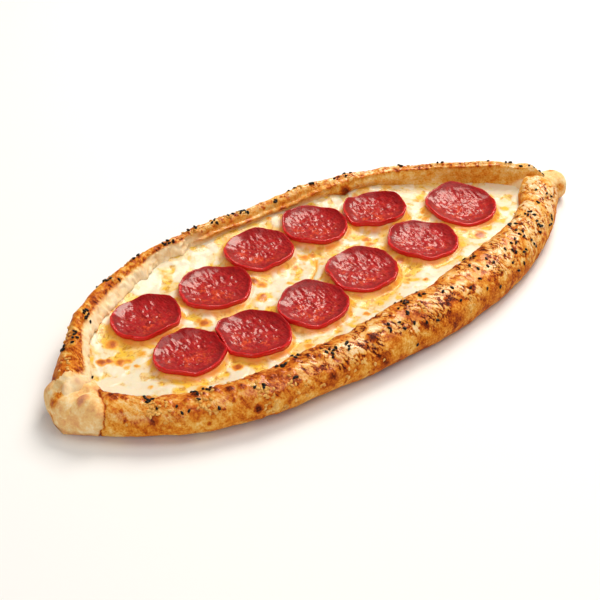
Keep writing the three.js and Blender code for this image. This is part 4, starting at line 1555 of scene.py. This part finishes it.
@dataclass(frozen=True)
class MeltedCheese(Finish):
    """Melted white cheese with yellow butterfat.

    Light goes some way into it, so it glows and its shadows are soft. It is glossy where fat lies on it, and
    toasts from yellow through orange to brown.
    """

    name: str = "melted_cheese"
    white: str = "#e6dcc3"
    yellow: str = "#e8bd3a"
    freckle: str = "#c4841f"
    oil: str = "#e88a34"
    stops: tuple[tuple[float, str], ...] = (
        (0.0, "#e6d29a"),
        (0.2, "#ecb642"),
        (0.45, "#dd8a26"),
        (0.7, "#b65a18"),
        (1.0, "#7a3410"),
    )

    def material(self) -> bpy.types.Material:
        """The material: white, yellowed, then oily, then toasted."""
        material, tree, here = self.start()
        toast, yellow, oil = (
            add(tree, "Attribute", {}, attribute_name=layer)["Fac"] for layer in ("toast", "yellow", "oil")
        )
        curd = add(tree, "TexNoise", {"Vector": here, "Scale": per_mm(4), "Detail": 5, "Roughness": 0.6})[0]
        fat = add(tree, "TexNoise", {"Vector": here, "Scale": per_mm(1.4), "Detail": 3, "Roughness": 0.6})[0]
        shift = add(tree, "Math", {0: curd, 1: 1.4, 2: -0.7}, operation="MULTIPLY_ADD")[0]
        yellowed = add(tree, "Math", {0: yellow, 1: shift}, operation="ADD", use_clamp=True)[0]
        colour = add(tree, "Mix", {0: yellowed, 6: self.white, 7: self.yellow}, data_type="RGBA")[2]
        # Small flecks of browned butterfat, where the cheese is yellow.
        noise = {"Vector": here, "Scale": per_mm(2.8), "Detail": 3, "Roughness": 0.6, "Distortion": 0.8}
        high = {"Value": add(tree, "TexNoise", noise)[0], "From Min": 0.55, "From Max": 0.575, "To Max": 0.9}
        flecks = add(tree, "Math", {0: add(tree, "MapRange", high)[0], 1: yellowed}, operation="MULTIPLY")[0]
        colour = add(tree, "Mix", {0: flecks, 6: colour, 7: self.freckle}, data_type="RGBA")[2]
        # Oil round the slices, with a painted glow on their front sides.
        colour = add(tree, "Mix", {0: oil, 6: colour, 7: self.oil}, data_type="RGBA")[2]
        fine = add(tree, "Math", {0: fat, 1: 0.5, 2: -0.25}, operation="MULTIPLY_ADD")[0]
        gate = add(tree, "MapRange", {"Value": toast, "From Min": 0.02, "From Max": 0.25})[0]
        fine = add(tree, "Math", {0: fine, 1: gate, 2: toast}, operation="MULTIPLY_ADD")[0]
        toasted = add(tree, "ValToRGB", {"Fac": fine}, stops=self.stops)[0]
        share = add(tree, "MapRange", {"Value": fine, "From Min": 0.03, "From Max": 0.3})[0]
        return self.finished(
            material,
            {
                "Base Color": add(tree, "Mix", {0: share, 6: colour, 7: toasted}, data_type="RGBA")[2],
                "Roughness": add(tree, "MapRange", {"Value": curd, "To Min": 0.25, "To Max": 0.5})[0],
                "Normal": add(tree, "Bump", {"Strength": 0.4, "Distance": 0.35 * MM, "Height": fat})[0],
                "IOR": 1.46,
                "Specular IOR Level": 0.4,
                "Coat Weight": 0.15,
                "Coat Roughness": 0.12,
                "Subsurface Weight": 0.45,
                "Subsurface Radius": (1.0, 0.6, 0.3),
                "Subsurface Scale": 1.5 * MM,
            },
        )


@dataclass(frozen=True)
class CuredSausage(Finish):
    """Baked sucuk: dense beef sausage cured with paprika and garlic.

    It is deep red with small flecks of orange fat. Oil has come out over it, so it is glossy over a rough cut
    face, and its skin is a thin, brighter ring.
    """

    name: str = "cured_sausage"
    meat: str = "#b91518"
    dark: str = "#8c0a0e"
    skin: str = "#cc1214"
    # The dark red of the cup's curled wall: partly the dried edge, partly painted shade.
    ring: str = "#7c050b"
    fat: str = "#e4683f"
    oil: str = "#e2501e"

    def material(self) -> bpy.types.Material:
        """The material: two reds mottled together, fat flecks, oil in the middle and the skin's ring."""
        material, tree, here = self.start()
        edge, oil, cup, wet = (
            add(tree, "Attribute", {}, attribute_name=layer)["Fac"] for layer in ("edge", "oil", "cup", "wet")
        )
        # The knife has left fine strokes, all one way.
        drawn = add(tree, "Mapping", {"Vector": here, "Scale": (1.0, 0.22, 1.0)})[0]
        mottle, grains, strokes = (
            add(tree, "TexNoise", {"Vector": at, "Scale": per_mm(mm), "Detail": fine, "Roughness": rough})[0]
            for at, mm, fine, rough in ((here, 3.2, 5, 0.65), (here, 1.2, 2, 0.5), (drawn, 0.9, 2, 0.55))
        )
        mottled = add(tree, "MapRange", {"Value": mottle, "From Min": 0.35, "From Max": 0.65})[0]
        colour = add(tree, "Mix", {0: mottled, 6: self.dark, 7: self.meat}, data_type="RGBA")[2]
        fat = add(tree, "MapRange", {"Value": grains, "From Min": 0.6, "From Max": 0.72, "To Max": 0.55})[0]
        inside = add(tree, "MapRange", {"Value": cup, "To Min": 1.0, "To Max": 0.1})[0]
        fat = add(tree, "Math", {0: fat, 1: inside}, operation="MULTIPLY")[0]
        oily = {"Value": grains, "From Min": 0.38, "From Max": 0.6, "To Max": 0.85}
        oiled = add(tree, "Math", {0: oil, 1: add(tree, "MapRange", oily)[0]}, operation="MULTIPLY")[0]
        # Towards its edge the slice is smoother and darker: partly its dried edge and partly painted shade on
        # the cup's curled inner wall.
        ring = add(tree, "MapRange", {"Value": cup, "From Min": 0.25, "From Max": 0.7, "To Max": 0.6})[0]
        # The skin's ring goes on last, painted dimmer on each slice's back side as painted shade.
        for share, over in ((fat, self.fat), (oiled, self.oil), (ring, self.ring), (edge, self.skin)):
            colour = add(tree, "Mix", {0: share, 6: colour, 7: over}, data_type="RGBA")[2]
        height = add(tree, "Math", {0: grains, 1: 0.5, 2: strokes}, operation="MULTIPLY_ADD")[0]
        return self.finished(
            material,
            {
                "Base Color": colour,
                "Roughness": add(tree, "MapRange", {"Value": mottle, "To Min": 0.5, "To Max": 0.65})[0],
                "Normal": add(tree, "Bump", {"Strength": 1.0, "Distance": 0.6 * MM, "Height": height})[0],
                "IOR": 1.46,
                "Specular IOR Level": 0.1,
                "Coat Weight": wet,
                "Coat Roughness": 0.2,
                "Subsurface Weight": 0.12,
                "Subsurface Radius": (1.0, 0.25, 0.15),
                "Subsurface Scale": 1.5 * MM,
            },
        )


@dataclass(frozen=True)
class SeedCoat(Finish):
    """A seed's dry skin, whose two tones vary from seed to seed and, finely, over each one."""

    name: str
    dark: str
    light: str
    roughness: float = 0.42

    def material(self) -> bpy.types.Material:
        """The material: a tone for each seed with a little fine noise."""
        material, tree, here = self.start()
        tone = add(tree, "Attribute", {}, attribute_name="tone")["Fac"]
        fine = {"Vector": here, "Scale": per_mm(0.6), "Detail": 2, "Roughness": 0.6}
        grain = add(tree, "TexNoise", fine)[0]
        level = add(tree, "Math", {0: grain, 1: 0.5, 2: tone}, operation="MULTIPLY_ADD")[0]
        share = add(tree, "MapRange", {"Value": level, "From Min": 0.1, "From Max": 1.4})[0]
        return self.finished(
            material,
            {
                "Base Color": add(tree, "Mix", {0: share, 6: self.dark, 7: self.light}, data_type="RGBA")[2],
                "Roughness": self.roughness,
                "Normal": add(tree, "Bump", {"Strength": 0.3, "Distance": 0.1 * MM, "Height": grain})[0],
                "IOR": 1.47,
                "Specular IOR Level": 0.25,
            },
        )


@dataclass(frozen=True)
class MattPaint(Finish):
    """White emulsion paint, rolled on a board: matt and almost white, with the faintest mottle."""

    name: str = "matt_white_paint"
    colour: str = "#f0f1f4"

    def material(self) -> bpy.types.Material:
        """The material: one colour, and a roughness that varies a little."""
        material, tree, here = self.start()
        mottle = add(tree, "TexNoise", {"Vector": here, "Scale": 30.0, "Detail": 2})[0]
        rough = add(tree, "MapRange", {"Value": mottle, "To Min": 0.85, "To Max": 0.95})[0]
        inputs = {"Base Color": self.colour, "Roughness": rough, "IOR": 1.45, "Specular IOR Level": 0.1}
        return self.finished(material, inputs)


SESAME_COAT = SeedCoat("toasted_sesame_hull", "#c8862c", "#e9b866")
NIGELLA_COAT = SeedCoat("nigella_seed_coat", "#080605", "#1c1411")


# --------------------------------------------- The studio ---------------------------------------------


class LightRole(Enum):
    """What a lamp is for."""

    KEY = "key"
    FILL = "fill"
    OVERHEAD = "overhead"


class Lamp(NamedTuple):
    """A square soft lamp: what it is for, where it is seen from the pide, and how far, broad and strong."""

    role: LightRole
    azimuth: float
    elevation: float
    distance: float
    breadth: float
    watts: float
    colour: str


@dataclass
class Studio:
    """A plain pale table, soft lamps and the camera. Angles are in degrees: azimuth 0 looks along +Y."""

    azimuth: float = -37.158
    elevation: float = 36.0
    distance: float = 0.75759
    lens: float = 78.0
    target: tuple[float, float, float] = (-0.020526, 0.005976, 0.0)
    lamps: tuple[Lamp, ...] = (
        Lamp(LightRole.KEY, 116, 51, 1.4, 0.7, 19, "#fff5e6"),
        Lamp(LightRole.OVERHEAD, 30, 68, 1.4, 0.8, 6.4, "#fffaf0"),
        Lamp(LightRole.FILL, -60, 32, 1.8, 1.0, 9, "#fffaf2"),
    )
    world: str = "#f4f3f0"
    world_strength: float = 0.25
    table: float = 4.0

    @staticmethod
    def looking(azimuth: float, elevation: float, distance: float, target: Sequence[float]) -> Matrix:
        """Where something stands that looks at the target from that side and height."""
        a, e = math.radians(azimuth), math.radians(elevation)
        back = np.array([math.sin(a) * math.cos(e), -math.cos(a) * math.cos(e), math.sin(e)])
        right = np.array([math.cos(a), math.sin(a), 0])
        rows = np.column_stack([right, np.cross(back, right), back, np.asarray(target) + back * distance])
        return Matrix([*rows.tolist(), [0, 0, 0, 1]])

    def camera(self) -> None:
        """The camera, at the chosen angle with the whole pide in view."""
        data = bpy.data.cameras.new("camera")
        data.lens, data.sensor_width = self.lens, 36.0
        data.clip_start, data.clip_end = 0.01, 20
        camera = bpy.data.objects.new("camera", data)
        camera.matrix_world = self.looking(self.azimuth, self.elevation, self.distance, self.target)
        bpy.context.scene.collection.objects.link(camera)
        bpy.context.scene.camera = camera

    def lights(self) -> None:
        """The lamps and the pale surroundings."""
        for lamp in self.lamps:
            data = bpy.data.lights.new(lamp.role.value, "AREA")
            data.shape, data.size, data.energy = "SQUARE", lamp.breadth, lamp.watts
            data.color = linear(lamp.colour)[:3]
            light = bpy.data.objects.new(lamp.role.value, data)
            light.matrix_world = self.looking(lamp.azimuth, lamp.elevation, lamp.distance, (0, 0, 0))
            bpy.context.scene.collection.objects.link(light)
        world = bpy.data.worlds.new("pale_room")
        world.use_nodes = True
        shade = world.node_tree.nodes["Background"]
        shade.inputs["Color"].default_value = linear(self.world)
        shade.inputs["Strength"].default_value = self.world_strength
        bpy.context.scene.world = world
        bpy.context.scene.view_settings.view_transform = "Standard"

    def floor(self) -> None:
        """The table top: a square of painted board."""
        mesh = bpy.data.meshes.new("table_top")
        far = self.table
        mesh.from_pydata([(-far, -far, 0), (far, -far, 0), (far, far, 0), (-far, far, 0)], [], [(0, 1, 2, 3)])
        mesh.materials.append(MattPaint().material())
        top = bpy.data.objects.new("table_top", mesh)
        bpy.context.scene.collection.objects.link(top)

    def build(self) -> None:
        """The whole studio."""
        self.camera()
        self.lights()
        self.floor()


# ---------------------------------------------- The pide ----------------------------------------------

SESAME = Seeds(
    name="sesame_seeds",
    length=2.6,
    breadth=1.65,
    thickness=0.95,
    corners=0,
    clumps=(
        Clump(-151, 4.5, 34, 5.5), Clump(-128, 5.0, 8), Clump(-128, 4.4, 22, 4.8), Clump(-100, 4.4, 24, 5),
        Clump(-98, 3.6, 15, 5), Clump(-49, 3.5, 5, 5), Clump(-70, 3.7, 3, 5), Clump(-83, 3.7, 5, 6),
        Clump(-84, 4.2, 3), Clump(-92, 3.2, 4, 5), Clump(-157, 17.7, 12, 5), Clump(-171, 17, 12, 5),
        Clump(-19, 16.9, 8, 5), Clump(-50, 16.4, 7, 5), Clump(-25, 16.7, 5), Clump(6, 4.8, 4),
        Clump(72, 4.3, 4, 5), Clump(121, 5.8, 4), Clump(60, 16.5, 4), Clump(29, 17, 5, 5),
        Clump(100, 17.4, 5, 6), Clump(-100, 17.6, 8, 7), Clump(40, 3.6, 5, 6), Clump(100, 3.6, 5, 6),
        Clump(-10, 18.3, 6, 7), Clump(140, 4, 4, 5),
    ),
    strewn=30,
    strewn_over=(-165, 20),
    seed=3,
)
NIGELLA = Seeds(
    name="nigella_seeds",
    length=2.9,
    breadth=1.6,
    thickness=1.35,
    corners=3,
    clumps=(
        Clump(-150, 5.3, 10), Clump(-130, 5.6, 6, 3.5), Clump(-122, 5.8, 7, 3.5), Clump(-138, 4.1, 2, 3),
        Clump(-99, 4.8, 4, 3), Clump(-84, 5.7, 3, 4), Clump(-72, 5.9, 3, 3), Clump(-80, 4.5, 2),
        Clump(-53, 4.9, 7), Clump(-45, 4.8, 2, 3), Clump(-17, 4.6, 3, 3), Clump(-1, 4.8, 3, 3),
        Clump(3, 5.6, 5, 4), Clump(16, 5.7, 4, 4), Clump(29, 4.9, 2, 3), Clump(64, 6.1, 5, 5),
        Clump(55, 4.6, 4, 6), Clump(68, 4.9, 3, 4), Clump(128, 5.2, 5, 5), Clump(127, 4.4, 3, 4),
        Clump(108, 5.7, 4), Clump(105, 4.9, 5, 5), Clump(124, 4.1, 3), Clump(109, 3.8, 3),
        Clump(91, 4.7, 5, 5), Clump(99, 4.2, 3), Clump(85, 4.2, 3), Clump(157, 16.8, 3),
        Clump(167, 16.4, 3), Clump(175, 16.6, 3, 3), Clump(-140, 16.2, 8, 3.5), Clump(-157, 16.9, 7, 4),
        Clump(-163, 18, 3), Clump(-163, 14.4, 1, 1), Clump(-69, 16.5, 8, 3.5), Clump(-48, 16.9, 8),
        Clump(-36, 16.4, 5), Clump(-14, 16.6, 9), Clump(-22, 16.9, 3), Clump(9, 16.3, 4),
        Clump(36, 16.5, 4), Clump(60, 16.7, 4), Clump(97, 16.9, 3), Clump(120, 17.2, 3),
        Clump(-90, 17.2, 6, 5), Clump(-115, 17, 6, 5), Clump(20, 18, 5, 6), Clump(140, 3.7, 4, 5),
    ),
    strewn=40,
    strewn_over=(-168, 164),
    seed=4,
)


@dataclass
class Pide:
    """The whole pide, one class for each of the things that it is made of."""

    crust: Crust = field(default_factory=Crust)
    cheese: Cheese = field(default_factory=Cheese)
    sausage: Sausage = field(default_factory=Sausage)

    def build(self) -> None:
        """Builds and dresses every piece."""
        place(self.crust.build(), BakedDough().material(), "crust")
        place(SESAME.build(self.crust), SESAME_COAT.material(), "crust")
        place(NIGELLA.build(self.crust), NIGELLA_COAT.material(), "crust")
        place(self.cheese.build(self.crust, self.sausage), MeltedCheese().material(), "cheese")
        sucuk = CuredSausage().material()
        for number in range(len(SLICES)):
            place(self.sausage.build_one(number), sucuk, f"sucuk_slice_{number + 1:02d}")


def corners(box: Sequence[Any]) -> list[list[float]]:
    """A box's two corners as plain lists."""
    return [[float(value) for value in corner] for corner in box]


def main() -> None:
    """Builds the pide and its studio."""
    logging.basicConfig(level=logging.INFO, format="%(message)s")
    Pide().build()
    Studio().build()


if __name__ == "__main__":
    main()
